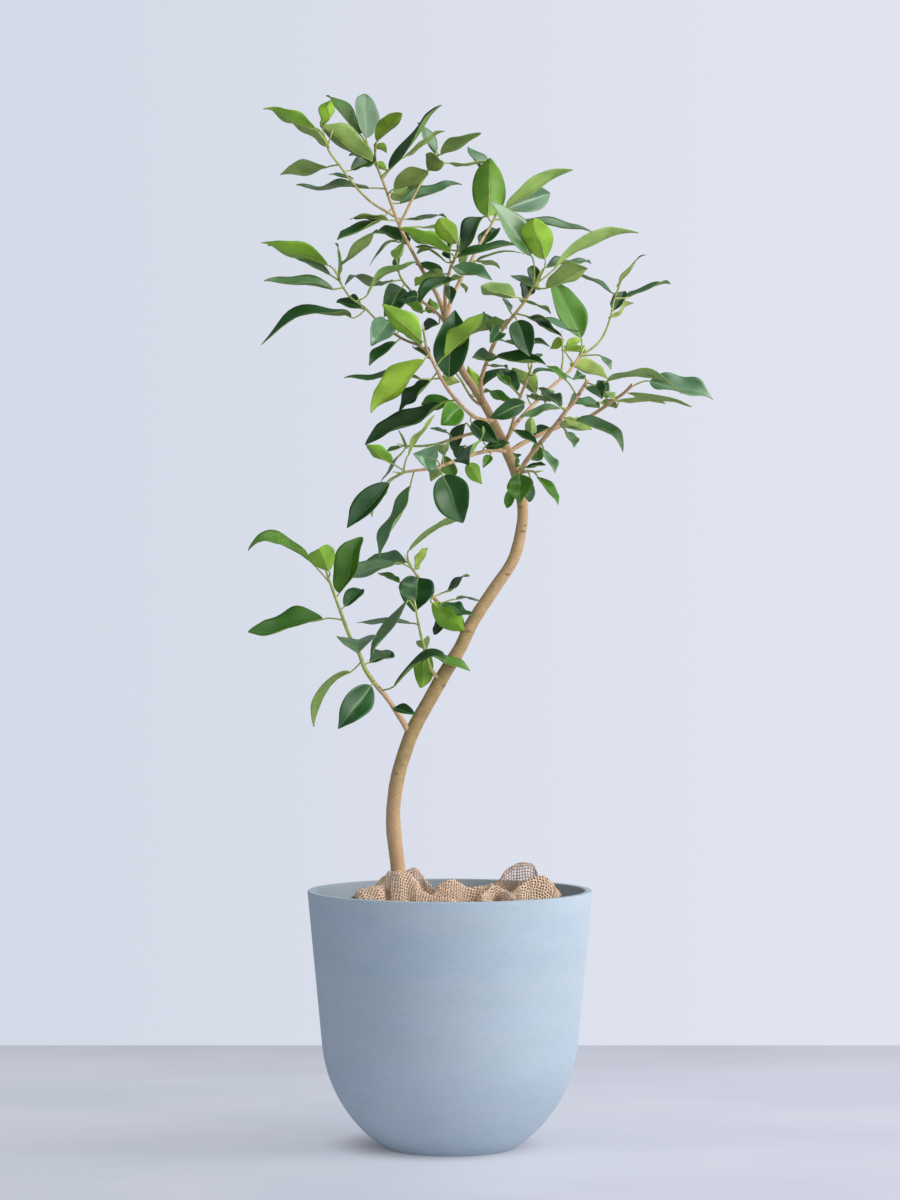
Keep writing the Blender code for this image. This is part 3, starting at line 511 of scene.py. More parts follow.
material, tree, shader = finish("dark potting soil", Roughness=0.95)
where = coordinates(tree)
crumbs = cloudy(tree, where, 300, 6)
fibres = cloudy(tree, where, 60, 3)
shade = mix(tree, ramp(tree, crumbs, 0.35, 0.7), (0.020, 0.013, 0.009), (0.085, 0.055, 0.036))
shade = tinted(tree, shade, (fibres, 0.6, 0.75, 0.5, (0.16, 0.10, 0.06)))
wire(tree, shader, Base_Color=shade, Normal=bump(tree, crumbs, 0.7, 0.002))
piece("soil_fill", shape, [material], "soil", "soil")

# %% [markdown]
# ## Hessian
#
# A piece of coarse hessian hides the soil. It humps up in pleats round the trunk, falls into a rolled
# fold in the middle, and stands up in two thin flaps. A simulated drape would fold by itself, but it
# wouldn't put the hump and the flaps where they were photographed. So the cloth is one fine grid, laid
# as a ragged round sheet and lifted by the same ridges as its solid. Their flanks are pleated, their
# crests lean over, and the flaps are narrow grids that stand in the folds.

# %% Hessian folds
COVER_MIDDLE = Vector((10, 2))
COVER_HALF = Vector((107, 108))
COVER_GRID = 170
# Each ridge is a line of (x, y, height), the width it spreads over, and how far apart its pleats are.
COVER_RIDGES = (
    (((-93, -17, 22), (-86, -16, 29), (-78, -15, 31), (-70, -11, 33)), 13, 19),
    (((-66, -3, 38), (-60, -7, 44), (-52, -10, 45), (-44, -9, 44)), 12, 17),
    ((
        (-43, -10, 44), (-36, -14, 37), (-29, -17, 28), (-21, -21, 22), (-8, -26, 20), (4, -30, 18),
    ), 9, 23),
    ((
        (-12, -5, 28), (-8, -3, 34), (-2, -3, 37), (4, -2, 36), (10, -1, 32), (16, 0, 28), (30, 1, 27),
    ), 9.5, 21),
    (((28, 1, 27), (36, 0, 30), (42, 0, 32), (48, 1, 29), (57, 2, 24)), 9, 15),
    (((42, -2, 31), (38, -14, 27), (35, -28, 20)), 7, 14),
    (((52, -4, 26), (58, -22, 23), (66, -38, 19)), 8, 16),
    ((
        (60, -14, 25), (69, -16, 30), (77, -15, 35), (85, -12, 41), (92, -11, 39), (100, -9, 35),
        (108, -6, 28),
    ), 13, 27),
    (((-60, 60, 9), (5, 66, 14), (70, 74, 9)), 20, 21),
    (((-74, -48, 14), (-30, -60, 9), (20, -62, 12), (60, -60, 9)), 13, 18),
    (((-30, 20, 30), (-10, 44, 15), (10, 84, 8)), 13, 19),
)
TRUNK_SPOT = Vector((-50, 0))
SOFT_JOIN = 2.2  # how gradually one ridge runs into the next, in millimetres
CRUMPLES = ((30, 2.4), (13, 1.3), (6, 0.6))  # size across and height, in millimetres
SWAY = ((34, 3.0), (13, 2.0))  # size and reach of the sideways wander of the folds
LEAN = 0.28  # how far a crest leans over, as a share of its height
PLEAT = 0.13  # how high a pleat stands, as a share of its ridge
RAGGED = 0.13  # how uneven the cloth's edge is, as a share of its reach
COVER_LIFT = 1.5
LEAST_RISE = 0.3
TRUNK_PLEATS = (7, 1.6)  # how many stand round the trunk, and how high
CREASE_REACH = (4, 8)  # in cells of the grid
CREASE_DEPTH = 6


def wander(spot, size, seed):
    """Two values from -1 to 1 that change slowly over the cloth."""
    where = Vector((*spot, 0)) / size
    return Vector((noise.noise(where + Vector((0, 0, seed))), noise.noise(where + Vector((9, 5, seed)))))


def ridge(spot, line, spread, pitch):
    """The height that one rounded ridge of cloth adds at a spot, with pleats down its flanks."""
    best = 0
    gone = 0
    for (x1, y1, low), (x2, y2, high) in zip(line, line[1:]):
        run = Vector((x2 - x1, y2 - y1))
        start = Vector((x1, y1))
        share = max(0, min(1, (spot - start).dot(run) / run.length_squared))
        off = (spot - start - run * share).length / spread
        along = gone + share * run.length
        pleat = PLEAT * off * math.exp(-(off**2) / 2) * math.sin(math.tau * along / pitch + 1.2 * off)
        best = max(best, (low + (high - low) * share) * (math.exp(-(off**2)) + pleat))
        gone += run.length
    return best


def crumple(spot, lift):
    """Sharp-crested folds: noise whose absolute value leaves creases, larger where the cloth rises."""
    total = 0
    for wide, high in CRUMPLES:
        fold = noise.noise(Vector((spot.x, spot.y * 1.3, 2 * wide)) / wide)
        total += high * (0.4 - abs(fold) * 1.6)
    return total * (0.8 + lift / 70)


def laid(u, v):
    """Where the point (u, v) of the flat cloth lies."""
    x, y = disc(u, v)
    edge = max(abs(u), abs(v))
    ragged = 1 + RAGGED * edge**2 * noise.noise(Vector((2.2 * x, 2.2 * y, 5)))
    spot = Vector((x * COVER_HALF.x, y * COVER_HALF.y)) * ragged + COVER_MIDDLE
    bent = spot.copy()
    for size, reach in SWAY:
        bent += wander(spot, size, 40) * reach
    heights = [ridge(bent, *numbers) for numbers in COVER_RIDGES]
    lift = SOFT_JOIN * math.log(1 + sum(math.exp(height / SOFT_JOIN) - 1 for height in heights))
    rays = math.atan2(*(spot - TRUNK_SPOT))
    near = math.exp(-(((spot - TRUNK_SPOT).length - 22) / 13) ** 2)
    pleats, high = TRUNK_PLEATS
    lift += high * near * math.sin(pleats * rays + 2 * noise.noise(Vector((*spot, 3)) / 20))
    rise = max(LEAST_RISE, lift + crumple(bent, max(0, lift)))
    leant = spot + wander(spot, 24, 70) * LEAN * max(0, rise - 8)
    return Vector((*leant, SOIL_HEIGHT + COVER_LIFT + rise)) * MM


shape = bmesh.new()
shape.loops.layers.uv.new("flat")
weave = shape.verts.layers.float_vector.new("weave")
bmesh.ops.create_grid(shape, x_segments=COVER_GRID, y_segments=COVER_GRID, size=1)
shape.verts.ensure_lookup_table()
places = [vert.co.xy for vert in shape.verts]
for vert, (u, v) in zip(shape.verts, places):
    vert.co = laid(u, v)


def crease(number):
    """How deep a point of the sheet lies between its neighbours on two sides, from 0 to 1."""
    here = shape.verts[number].co.z / MM
    deepest = 0
    for reach in CREASE_REACH:
        for step in (reach, reach * (COVER_GRID + 1)):
            if step <= number < len(shape.verts) - step:
                sides = shape.verts[number - step].co.z, shape.verts[number + step].co.z
                deepest = max(deepest, min(sides) / MM - here)
    return min(1, deepest / CREASE_DEPTH)


# The weave's third value is minus how deep a crease is, which the finish turns into painted shade.
for number, (vert, (u, v)) in enumerate(zip(shape.verts, places)):
    vert[weave] = (1 - abs(u), 1 - abs(v), -crease(number))

# %% [markdown]
# Threads don't stretch, so the weave's flat map is measured along the cloth: a point's place on it is
# how far the threads through it run, over hill and dale, from the cloth's middle lines.


# %% Flat map of the hessian
def measured(verts, columns, rows, step):
    """Distance along a grid from its middle line, for every point; step is 1 across, one row along."""
    totals = [0.0] * len(verts)
    lines, count = (rows, columns) if step == 1 else (columns, rows)
    middle = count // 2
    for line in range(lines):
        start = line * (columns if step == 1 else 1)
        for way in (1, -1):
            for number in range(count - 1 - middle if way == 1 else middle):
                here = start + (middle + way * number) * step
                there = here + way * step
                totals[there] = totals[here] + way * (verts[there].co - verts[here].co).length
    return totals


def lay_flat(shape, verts, columns, rows):
    flat_map = shape.loops.layers.uv["flat"]
    across, along = (measured(verts, columns, rows, step) for step in (1, columns))
    places = {vert: place for vert, *place in zip(verts, across, along)}
    for vert in verts:
        for loop in vert.link_loops:
            loop[flat_map].uv = places[vert]
    return max(across), max(along)


reach = lay_flat(shape, list(shape.verts), COVER_GRID + 1, COVER_GRID + 1)
print("cloth along its middle threads:", [round(2 * half, 3) for half in reach])

# %% [markdown]
# The flaps are what is left of the cloth's pinched corners. Each follows a line of top points and falls
# from there into the folds, so thin and open that the pot's far side shows through it.

# %% Standing flaps
# Top points are (x, y, z); then how far the flap falls, how far its foot stands forward, its bend, and
# how thin its middle is.
FLAPS = (
    ((
        (45, 14, 261), (54, 17, 271), (62, 20, 279), (70, 22, 282), (80, 21, 282), (85, 15, 277),
        (89, 6, 267),
    ), 34, 10, 5, 0.8),
    ((
        (-47, 9, 272), (-41, 9, 277), (-34, 9, 277), (-29, 7, 272), (-23, 4, 264), (-14, 1, 254),
    ), 26, 8, 3, 0.45),
)
FLAP_CELLS = (44, 26)
FLAP_CURL = 3.5
FLAP_ROUGHNESS = 2.2


def curve(a, b, c, d, t):
    """A point between b and c, on the smooth line through all four."""
    linear = 2 * b + (c - a) * t
    return 0.5 * (linear + (2 * a - 5 * b + 4 * c - d) * t**2 + (3 * b - a - 3 * c + d) * t**3)


def on_line(points, share):
    """A point this far along a line whose points are evenly spaced, joined smoothly."""
    last = len(points) - 1
    number = min(int(share * last), last - 1)
    t = share * last - number
    a, b, c, d = (points[max(0, min(last, number + step))] for step in (-1, 0, 1, 2))
    return curve(a, b, c, d, t)


for seed, (tops, fall, forward, bend, thinness) in enumerate(FLAPS):
    tops = [Vector(top) for top in tops]
    before = len(shape.verts)
    bmesh.ops.create_grid(shape, x_segments=FLAP_CELLS[0], y_segments=FLAP_CELLS[1], size=1)
    shape.verts.ensure_lookup_table()
    verts = shape.verts[before:]
    for vert in verts:
        along, down = (vert.co.x + 1) / 2, (1 - vert.co.y) / 2
        top = on_line(tops, along)
        curl = math.exp(-down * 9)
        here = top - Vector((0, forward * down + FLAP_CURL * curl * down * 9, fall * down))
        here.y += bend * math.sin(math.tau * (1.3 * along + 0.25 * seed)) * (0.4 + down)
        rough = Vector((*wander((90 * along, 30 * down), 14, seed), noise.noise(here / 9)))
        hem = min(1, 7 * along, 7 * (1 - along), max(0, 9 * down - 0.6))
        # A flap's thinness makes it see-through and sets how much painted shade it gets.
        vert[weave] = (1, 1, thinness * (0.3 + 0.7 * hem * math.cos(math.pi / 2 * down)))
        vert.co = (here + rough * FLAP_ROUGHNESS) * MM
    lay_flat(shape, verts, FLAP_CELLS[0] + 1, FLAP_CELLS[1] + 1)

# %% [markdown]
# Its weave is open: tan jute threads about 3 mm apart, no two alike, with gaps between them. The
# threads are two crossed sets of waves on the cloth's own flat map, so they follow every fold. Slow
# noise along each set makes slubs and thin places. Near the edge the threads that run along it are
# gone and the others fray, and in a flap all are thinner. The gaps are see-through. Each thread is
# painted darker towards the gaps, as painted shade; a flap is painted darker and browner, as painted
# shade of cloth lit from behind; and creases are painted a darker brown, as painted shade.

# %% Hessian finish
THREAD_PITCH = 0.003
THREAD_TURNS = 2 * math.pi / THREAD_PITCH
THREAD_DRIFT = (0.0024, 0.0024, 0.0024)

material, tree, shader = finish("hessian", Roughness=0.9, Sheen_Weight=0.2, Sheen_Roughness=0.5)
flat = add(tree, "UVMap", uv_map="flat").outputs[0]
drift = add(tree, "TexNoise", {"Vector": flat, "Scale": 60, "Detail": 2}).outputs["Color"]
nudge = vectors(tree, "SUBTRACT", drift, (0.5, 0.5, 0.5))
flat = vectors(tree, "ADD", flat, vectors(tree, "MULTIPLY", nudge, THREAD_DRIFT))
across, along, _ = axes(tree, flat)
hem_across, hem_along, thinness_and_shade = axes(tree, stored(tree, "weave")["Vector"])


def waves(place, turns):
    return maths(tree, "COSINE", maths(tree, "MULTIPLY", place, turns))


def threads(place, stretch, hem):
    """Waves across one set of threads, raised where a thread is thick and sunk near its hem."""
    slub = maths(tree, "SUBTRACT", cloudy(tree, flat, 330, 2, stretch), 0.5)
    frayed = ramp(tree, hem, 0.0, 0.035, -2.5, 0)
    thick = maths(tree, "MULTIPLY_ADD", slub, 2.4, waves(place, THREAD_TURNS))
    return maths(tree, "ADD", thick, frayed)


warp = threads(across, (1, 0.09, 1), hem_across)
weft = threads(along, (0.09, 1, 1), hem_along)
open_share = maths(tree, "MAXIMUM", thinness_and_shade, 0)
body = maths(tree, "SUBTRACT", maths(tree, "MAXIMUM", warp, weft), open_share)
mask = ramp(tree, body, -0.32, 0.0)
over = maths(tree, "MULTIPLY", waves(across, THREAD_TURNS / 2), waves(along, THREAD_TURNS / 2))
fibre = cloudy(tree, flat, 900, 4, (1, 4, 1))
stain = cloudy(tree, flat, 20, 3)
# Painted shade: each thread is lighter at its crown and darker towards the gaps beside it.
shade = mix(tree, ramp(tree, body, -0.3, 0.75), (0.34, 0.19, 0.11), (1.0, 0.75, 0.57))
shade = tinted(
    tree,
    shade,
    (fibre, 0.45, 0.75, 0.35, (0.58, 0.38, 0.24)),
    (stain, 0.4, 0.7, 0.3, (0.60, 0.40, 0.25)),
    # Painted shade: thin flaps, lit from behind, are painted darker and browner.
    (thinness_and_shade, 0, 0.3, 0.65, (0.42, 0.27, 0.17)),
    # Painted shade: creases are painted a darker brown.
    (thinness_and_shade, 0, -1, 0.75, (0.26, 0.13, 0.07)),
)
height = maths(tree, "MULTIPLY_ADD", over, 0.5, body)
height = maths(tree, "ADD", height, maths(tree, "MULTIPLY", fibre, 0.5))
wire(tree, shader, Base_Color=shade, Alpha=mask, Normal=bump(tree, height, 0.7, 0.0009))
hessian = piece("hessian_cloth", shape, [material], "hessian", "hessian_cover")
thicken(hessian, 0.8)

# %% [markdown]
# ## Where the wood and the leaves are
#
# The tree is written down as readings from the photograph, in millimetres, seen square on. A route's
# points give x, depth, z and radius. A leaf's row gives its blade's base and tip, its width as seen,
# and which side it shows in which tone. `place` moves a reading out along its line of sight to its
# real depth, so that every leaf still lines up with the photograph.

# %% Readings to places
DEPTH_SPREAD = 1.45


def place(x, depth, z):
    spread = 1 + depth / SIGHT
    return Vector((x * spread, depth, EYE + (z - EYE) * spread)) * MM


TRUNK_X = -50
TRUNK_ROUTE = (
    (TRUNK_X, 0, SOIL_HEIGHT - 39.7, 7.8), (TRUNK_X, 0, SOIL_HEIGHT + 6, 7.6), (-52, 0, 276, 7.3),
    (-56.6, -2, 319, 7.2), (-56, -3, 345, 7.1), (-51.6, -4, 372, 7), (-43.4, -5, 399, 7),
    (-35, -5, 420, 6.9), (-20, -4, 447, 6.8), (-7, -3, 470, 6.8), (10, -1, 498, 6.6), (22, 1, 523, 6.4),
    (42, 4, 554, 6.2), (63, 7, 586, 5.8), (71, 9, 616, 5.6), (72.5, 10, 640, 5.4), (66, 8, 672, 5.3),
    (58, 6, 692, 5.3), (53, 5, 703, 5), (40, 3, 731, 4.2), (26, 1, 755, 4), (11, -1, 778, 3.8),
    (2, -3, 806, 3.5), (-6, -5, 834, 3.2),
)

# %% Branches
Twig = namedtuple("Twig", "collar route leaves")
UPPER_TONES = "DGM"

# Leaf rows are (base x, base z, tip x, tip z, width as seen, side and tone, [depth], [via x, via z]).
# Side and tone: D, G and M turn the upper face to the front (dark, glossy with a painted reflection,
# mid green); O, B and C the under face (olive, bright partly from painted light shining through, mid
# green). Depth is how far the tip lies behind its twig.
BRANCHES = {
    "branch_top": (
        Twig(20, (
            (-6, -5, 834, 3.1), (-14, -3, 853, 3), (-25, 0, 871, 2.8), (-37, 3, 893, 2.6),
            (-50, 6, 919, 2.4), (-61, 10, 948, 2.1), (-66, 12, 962, 1.9), (-76, 16, 987, 1.5),
        ), (
            (-90, 1012, -124, 1050, 14, "M"), (-78, 985, -130, 1021, 20, "O", -35),
            (-84, 1008, -85, 1052, 24, "G"), (-73, 1005, -49, 1033, 14, "B"),
            (-73, 1002, -63, 993, 8, "B", 25), (-61, 977, -8, 1041, 12, "D", -20),
            (-46, 989, -5, 1015, 4, "O", 25), (-81, 958, -154, 961, 9, "G"),
            (-56, 957, -23, 975, 16, "O"), (-50, 943, 12, 961, 13, "G"), (-44, 927, -3, 928, 5, "G"),
            (-62, 926, -100, 926, 5, "O"), (-71, 925, -113, 906, 12, "D"),
            (-84, 986, -101, 990, 4, "D", 45), (-73, 983, -63, 975, 8, "B", 35),
            (-42, 902, -57, 914, 13, "D"), (-47, 903, -53, 885, 9, "B"),
            (-51, 904, -80, 880, 4, "G", 15, -65, 900), (-27, 919, -10, 916, 3, "O", 40),
        )),
        Twig(None, (
            (-56, 8, 930, 1.9), (-80, -2, 945, 1.8), (-99, -10, 965, 1.7), (-110, -15, 980, 1.6),
            (-122, -19, 997, 1.4), (-120, -22, 1007, 1.2),
        ), (
            (-136, 1017, -187, 1037, 10, "B"), (-124, 1000, -162, 1026, 9, "O", 30),
            (-127, 1021, -118, 1046, 12, "B"), (-123, 979, -170, 971, 11, "O"),
            (-99, 968, -121, 971, 5, "G", 40),
        )),
        Twig(None, (
            (-50, 6, 922, 2), (-37, 10, 948, 1.9), (-29, 14, 963, 1.8), (-22, 17, 974, 1.6),
            (-15, 20, 989, 1.3),
        ), (
            (-13, 991, -33, 1023, 10, "G"), (-9, 992, 31, 1013, 10, "O"),
            (-22, 976, -14, 990, 21, "O", -50), (-1, 983, 48, 977, 4, "O"),
        )),
    ),
    "branch_top_middle": (
        Twig(22, (
            (-4, -5, 828, 3), (-5, -16, 849, 2.8), (-4, -22, 862, 2.4), (1, -27, 879, 2.1),
            (5, -30, 888, 1.8), (8, -33, 898, 1.5),
        ), (
            (-2, 894, -50, 917, 12, "B"), (7, 903, -11, 927, 20, "B"), (9, 893, 38, 929, 18, "D"),
            (7, 889, 71, 900, 10, "D"), (0, 888, 1, 910, 8, "D"), (3, 879, 42, 866, 16, "G"),
            (-3, 869, -31, 843, 16, "D"), (0, 866, 11, 869, 4, "O", -40),
            (-1, 860, 1, 842, 11, "D", -35), (-8, 871, -34, 881, 11, "D"), (-9, 897, -33, 898, 3, "G"),
            (-5, 885, -33, 892, 4, "O", 30, -19, 895),
        )),
    ),
    "branch_top_right": (
        Twig(26, (
            (-4, -4, 826, 3), (2, 8, 848, 2.8), (11, 16, 867, 2.6), (21, 22, 885, 2.3),
            (29, 27, 901, 2.1), (40, 33, 919, 1.9), (49, 40, 936, 1.5),
        ), (
            (38, 930, 40, 988, 34, "C", -15), (42, 956, 19, 998, 16, "G", 25),
            (58, 937, 100, 953, 27, "G"), (56, 939, 123, 976, 12, "O", -12), (14, 881, 17, 893, 8, "O"),
            (26, 885, 75, 892, 4, "G", 20, 45, 893), (26, 885, 50, 877, 4, "O", 45),
            (11, 863, 16, 853, 5, "O", 35), (72, 926, 144, 912, 10, "G"),
        )),
    ),
    "twig_fork_left": (
        Twig(12, (
            (-2, -3, 820, 2.6), (-12, 6, 832, 2.3), (-27, 15, 844, 2), (-34, 19, 850, 1.9),
            (-45, 25, 862, 1.7), (-50, 28, 870, 1.5), (-52, 30, 878, 1.2),
        ), (
            (-58, 865, -105, 861, 5, "G"), (-33, 849, -53, 846, 12, "D", -35),
            (-27, 866, -35, 860, 8, "B", 35), (-27, 835, -45, 843, 9, "B", 30),
            (-17, 834, -20, 848, 14, "B", 30), (-12, 822, -25, 818, 12, "D", 40),
            (-48, 858, -66, 829, 24, "D"), (-52, 878, -46, 900, 9, "M"),
        )),
    ),
    "branch_upper_right": (
        Twig(24, (
            (34, 2, 741, 3.2), (31, -12, 760, 3.1), (32, -18, 770, 3), (39, -26, 790, 2.8),
            (45, -31, 804, 2.6), (55, -36, 820, 2.4), (64, -40, 831, 2.2), (75, -44, 845, 2),
            (82, -47, 857, 1.8), (89, -50, 868, 1.5),
        ), (
            (81, 891, 39, 945, 22, "G", -30), (65, 849, 31, 860, 16, "O"),
            (60, 835, 53, 848, 6, "G", 30), (95, 887, 83, 927, 29, "B"),
            (104, 877, 189, 913, 9, "O", 10, 134, 900), (97, 879, 141, 882, 10, "G", 30),
            (96, 858, 138, 877, 16, "O"), (88, 862, 81, 880, 12, "D", 30), (88, 857, 60, 870, 10, "G"),
            (80, 829, 135, 813, 6, "G"), (78, 829, 111, 810, 10, "D"), (72, 846, 101, 832, 4, "O"),
            (67, 825, 80, 789, 24, "D", -30), (55, 805, 100, 799, 8, "G"), (44, 789, 22, 788, 12, "D"),
            (46, 790, 96, 781, 14, "D"), (39, 781, 58, 777, 4, "G", -45),
            (49, 814, 40, 803, 15, "D", -40), (55, 825, 22, 812, 14, "O"),
        )),
    ),
    "twig_middle_right": (
        Twig(13, (
            (54, 5, 702, 2.8), (60, -3, 714, 2.6), (64, -8, 728, 2.4), (69, -10, 746, 2.2),
            (77, -12, 766, 1.9), (81, -14, 778, 1.5),
        ), (
            (84, 772, 125, 766, 4, "G", -15, 97, 776), (62, 744, 33, 753, 9, "M"),
            (74, 742, 40, 728, 18, "D", -25), (64, 716, 88, 700, 9, "D", -30),
            (80, 784, 92, 792, 7, "D", 25), (60, 760, 46, 772, 8, "M", 20),
        )),
    ),
    "branch_right_back": (
        Twig(16, (
            (53, 5, 700, 3.2), (60, 18, 713, 3), (68, 28, 725, 2.9), (82, 42, 740, 2.7),
            (99, 54, 757, 2.5), (112, 62, 768, 2.3), (121, 67, 777, 2.1), (131, 72, 792, 1.8),
        ), (
            (86, 753, 63, 778, 16, "O"), (122, 782, 158, 767, 14, "O"),
            (151, 790, 161, 776, 8, "G", -30), (131, 808, 103, 864, 30, "M"),
            (78, 750, 100, 744, 6, "D"), (114, 798, 137, 792, 9, "B", 45),
        )),
        Twig(None, (
            (130, 71, 789, 1.7), (150, 78, 805, 1.6), (160, 80, 827, 1.5), (164, 81, 845, 1.4),
            (170, 82, 862, 1.2),
        ), (
            (161, 854, 119, 879, 6, "G"), (169, 863, 196, 891, 5, "O"), (178, 849, 221, 862, 9, "D"),
            (161, 829, 184, 843, 6, "O", 35),
        )),
        Twig(None, (
            (110, 61, 766, 1.7), (113, 68, 788, 1.5), (112, 73, 806, 1.2),
        ), (
            (112, 806, 100, 797, 10, "B", 30), (116, 800, 132, 806, 8, "B", 35),
        )),
    ),
    "branch_right_front": (
        Twig(14, (
            (67, 8, 668, 3.8), (75, -4, 683, 3.6), (87, -14, 699, 3.4), (98, -22, 712, 3.3),
            (108, -28, 724, 3.1), (117, -33, 736, 3), (125, -36, 746, 2.9), (138, -40, 766, 2.7),
        ), (
            (157, 765, 232, 752, 8, "O", -15, 192, 772), (109, 738, 71, 729, 8, "G", -15),
            (111, 739, 88, 758, 12, "D"), (116, 766, 96, 780, 7, "M"),
            (126, 726, 173, 694, 14, "D", -20, 152, 718), (145, 760, 152, 747, 18, "D", -45),
            (133, 771, 123, 766, 10, "D", -35), (94, 696, 105, 673, 10, "G"),
        )),
    ),
    "branch_right_long": (
        Twig(14, (
            (58, 6, 692, 3.6), (68, 17, 700, 3.4), (83, 27, 708, 3.2), (100, 34, 716, 3.1),
            (118, 39, 723, 3), (138, 37, 729, 2.8), (150, 32, 736, 2.6), (164, 22, 746, 2.4),
            (174, 12, 753, 2.3), (183, 2, 762, 2.2),
        ), (
            (200, 765, 263, 746, 22, "G"), (179, 753, 242, 739, 5, "O", 20),
            (167, 745, 216, 742, 6, "O", 40), (167, 741, 150, 743, 8, "O", 35),
            (164, 747, 155, 754, 8, "O", -45), (147, 744, 118, 741, 14, "D"),
            (100, 718, 82, 713, 12, "D", 35), (104, 718, 131, 720, 7, "D", 35),
            (117, 714, 124, 698, 12, "G"), (85, 703, 88, 685, 14, "M", 30),
            (80, 712, 82, 731, 12, "O", 30),
        )),
    ),
    "branch_left_high": (
        Twig(18, (
            (43, 3, 725, 3), (29, -12, 727, 2.9), (18, -22, 734, 2.8), (3, -36, 750, 2.6),
            (-8, -46, 766, 2.4), (-15, -54, 780, 2.2), (-23, -62, 797, 1.9), (-26, -68, 812, 1.4),
        ), (
            (-29, 806, -68, 842, 20, "B", -25), (-29, 800, -53, 824, 12, "M", 25),
            (-1, 769, 5, 836, 34, "D", 5), (-5, 790, 34, 833, 17, "B", -15),
            (-29, 767, -106, 768, 9, "D", -10), (-26, 786, -79, 733, 22, "B", -10),
            (-20, 765, -51, 734, 14, "D", 25), (-10, 742, -85, 701, 19, "D", -5),
            (0, 745, -29, 742, 16, "M", 30), (10, 738, -9, 721, 24, "M", -25),
            (-21, 788, -36, 798, 10, "D", 45), (22, 723, 48, 704, 18, "D", -25),
        )),
        Twig(None, (
            (-21, -59, 792, 2), (-30, -54, 800, 2), (-47, -46, 807, 1.9), (-68, -38, 821, 1.8),
            (-85, -32, 838, 1.7), (-100, -28, 849, 1.5), (-110, -25, 864, 1.3), (-112, -24, 869, 1.1),
        ), (
            (-122, 881, -189, 903, 14, "B"), (-121, 872, -182, 900, 10, "D", 35),
            (-117, 857, -186, 865, 12, "G", -15), (-99, 829, -189, 801, 13, "D", -10, -131, 836),
            (-108, 882, -66, 912, 8, "O"), (-112, 870, -115, 903, 4, "M"),
            (-62, 824, -79, 800, 24, "G"), (-54, 804, -81, 780, 12, "D"),
            (-53, 818, -68, 824, 7, "D", 40), (-83, 851, -32, 884, 6, "O", 15, -62, 874),
        )),
    ),
    "branch_left_middle": (
        Twig(14, (
            (51, 4, 708, 2.8), (38, 14, 714, 2.6), (20, 20, 712, 2.4), (0, 22, 706, 2.2),
            (-13, 22, 702, 2), (-28, 22, 700, 1.8), (-45, 22, 700, 1.4),
        ), (
            (-4, 714, -20, 718, 4, "G", 30), (-46, 696, -69, 664, 5, "G"),
            (15, 722, 2, 696, 14, "D", 20), (-45, 700, -52, 716, 4, "O"),
            (-50, 699, -64, 693, 5, "M", 30),
        )),
    ),
    "branch_left_low": (
        Twig(15, (
            (57, 6, 694, 3), (46, -8, 696, 2.9), (28, -24, 693, 2.8), (13, -36, 688, 2.6),
            (-9, -48, 680, 2.4), (-23, -53, 677, 2.2), (-38, -57, 675, 1.9), (-50, -60, 673, 1.5),
        ), (
            (-59, 683, -83, 701, 12, "B"), (-61, 663, -103, 618, 22, "D", -10),
            (-40, 660, -71, 587, 13, "G", 5), (-7, 670, 13, 623, 36, "D", -15),
            (-42, 691, -15, 731, 5, "O", 10), (-14, 686, -37, 692, 27, "G", -45),
            (-6, 690, 3, 668, 14, "M", 30), (14, 700, 5, 689, 13, "D", 25), (31, 706, 19, 681, 14, "D"),
            (18, 682, 32, 662, 15, "B", 30), (40, 690, 33, 678, 9, "M", -30),
            (-64, 662, -78, 629, 8, "B", 30), (36, 699, 60, 703, 10, "D", -30),
        )),
    ),
    "twig_middle": (
        Twig(12, (
            (35, 2, 740, 2.2), (26, 14, 744, 2), (19, 20, 752, 1.8), (11, 22, 766, 1.5),
            (5, 23, 774, 1.2),
        ), (
            (27, 752, 69, 769, 10, "D", 25, 45, 772), (5, 776, -4, 800, 9, "D"),
            (26, 758, 18, 780, 14, "B", 30),
        )),
    ),
    "spur_trunk": (
        Twig(11, (
            (70, 9, 655, 2.8), (67, -4, 664, 2.6), (70, -13, 672, 2.3), (78, -17, 675, 2),
            (86, -18, 674, 1.5),
        ), (
            (69, 672, 70, 643, 26, "M", -25), (62, 658, 57, 638, 10, "M", 10),
            (81, 664, 79, 644, 11, "G", 20), (76, 679, 96, 681, 5, "D", -30),
            (88, 669, 108, 641, 10, "M"), (68, 682, 63, 693, 8, "D", -30),
        )),
    ),
    "branch_low_left": (
        Twig(16, (
            (-39, -5, 411, 4), (-52, -10, 432, 3.8), (-63, -14, 448, 3.5), (-74, -17, 461, 3.3),
            (-85, -20, 477, 3), (-91, -22, 493, 2.8), (-100, -24, 509, 2.6), (-110, -27, 536, 2.2),
            (-117, -29, 555, 1.9), (-123, -31, 572, 1.5),
        ), (
            (-141, 586, -202, 595, 12, "M", -10, -172, 605), (-121, 575, -131, 597, 26, "B", -40),
            (-111, 553, -88, 609, 24, "M"), (-127, 527, -202, 514, 20, "M", 10),
            (-92, 506, -92, 493, 40, "G", -60), (-100, 474, -136, 419, 9, "O", 5, -124, 456),
            (-79, 460, -112, 417, 28, "D"), (-56, 460, -5, 482, 8, "D", -30, -24, 488),
            (-56, 438, -33, 430, 10, "D", -35),
        )),
    ),
    "branch_low_middle": (
        Twig(14, (
            (14, 0, 505, 3.2), (9, 8, 520, 3), (-12, 14, 544, 2.6), (-20, 16, 552, 2.4),
            (-32, 18, 569, 2), (-41, 20, 582, 1.5),
        ), (
            (-41, 596, 13, 623, 6, "O", 10, -6, 622), (-35, 578, -22, 598, 9, "B", 40),
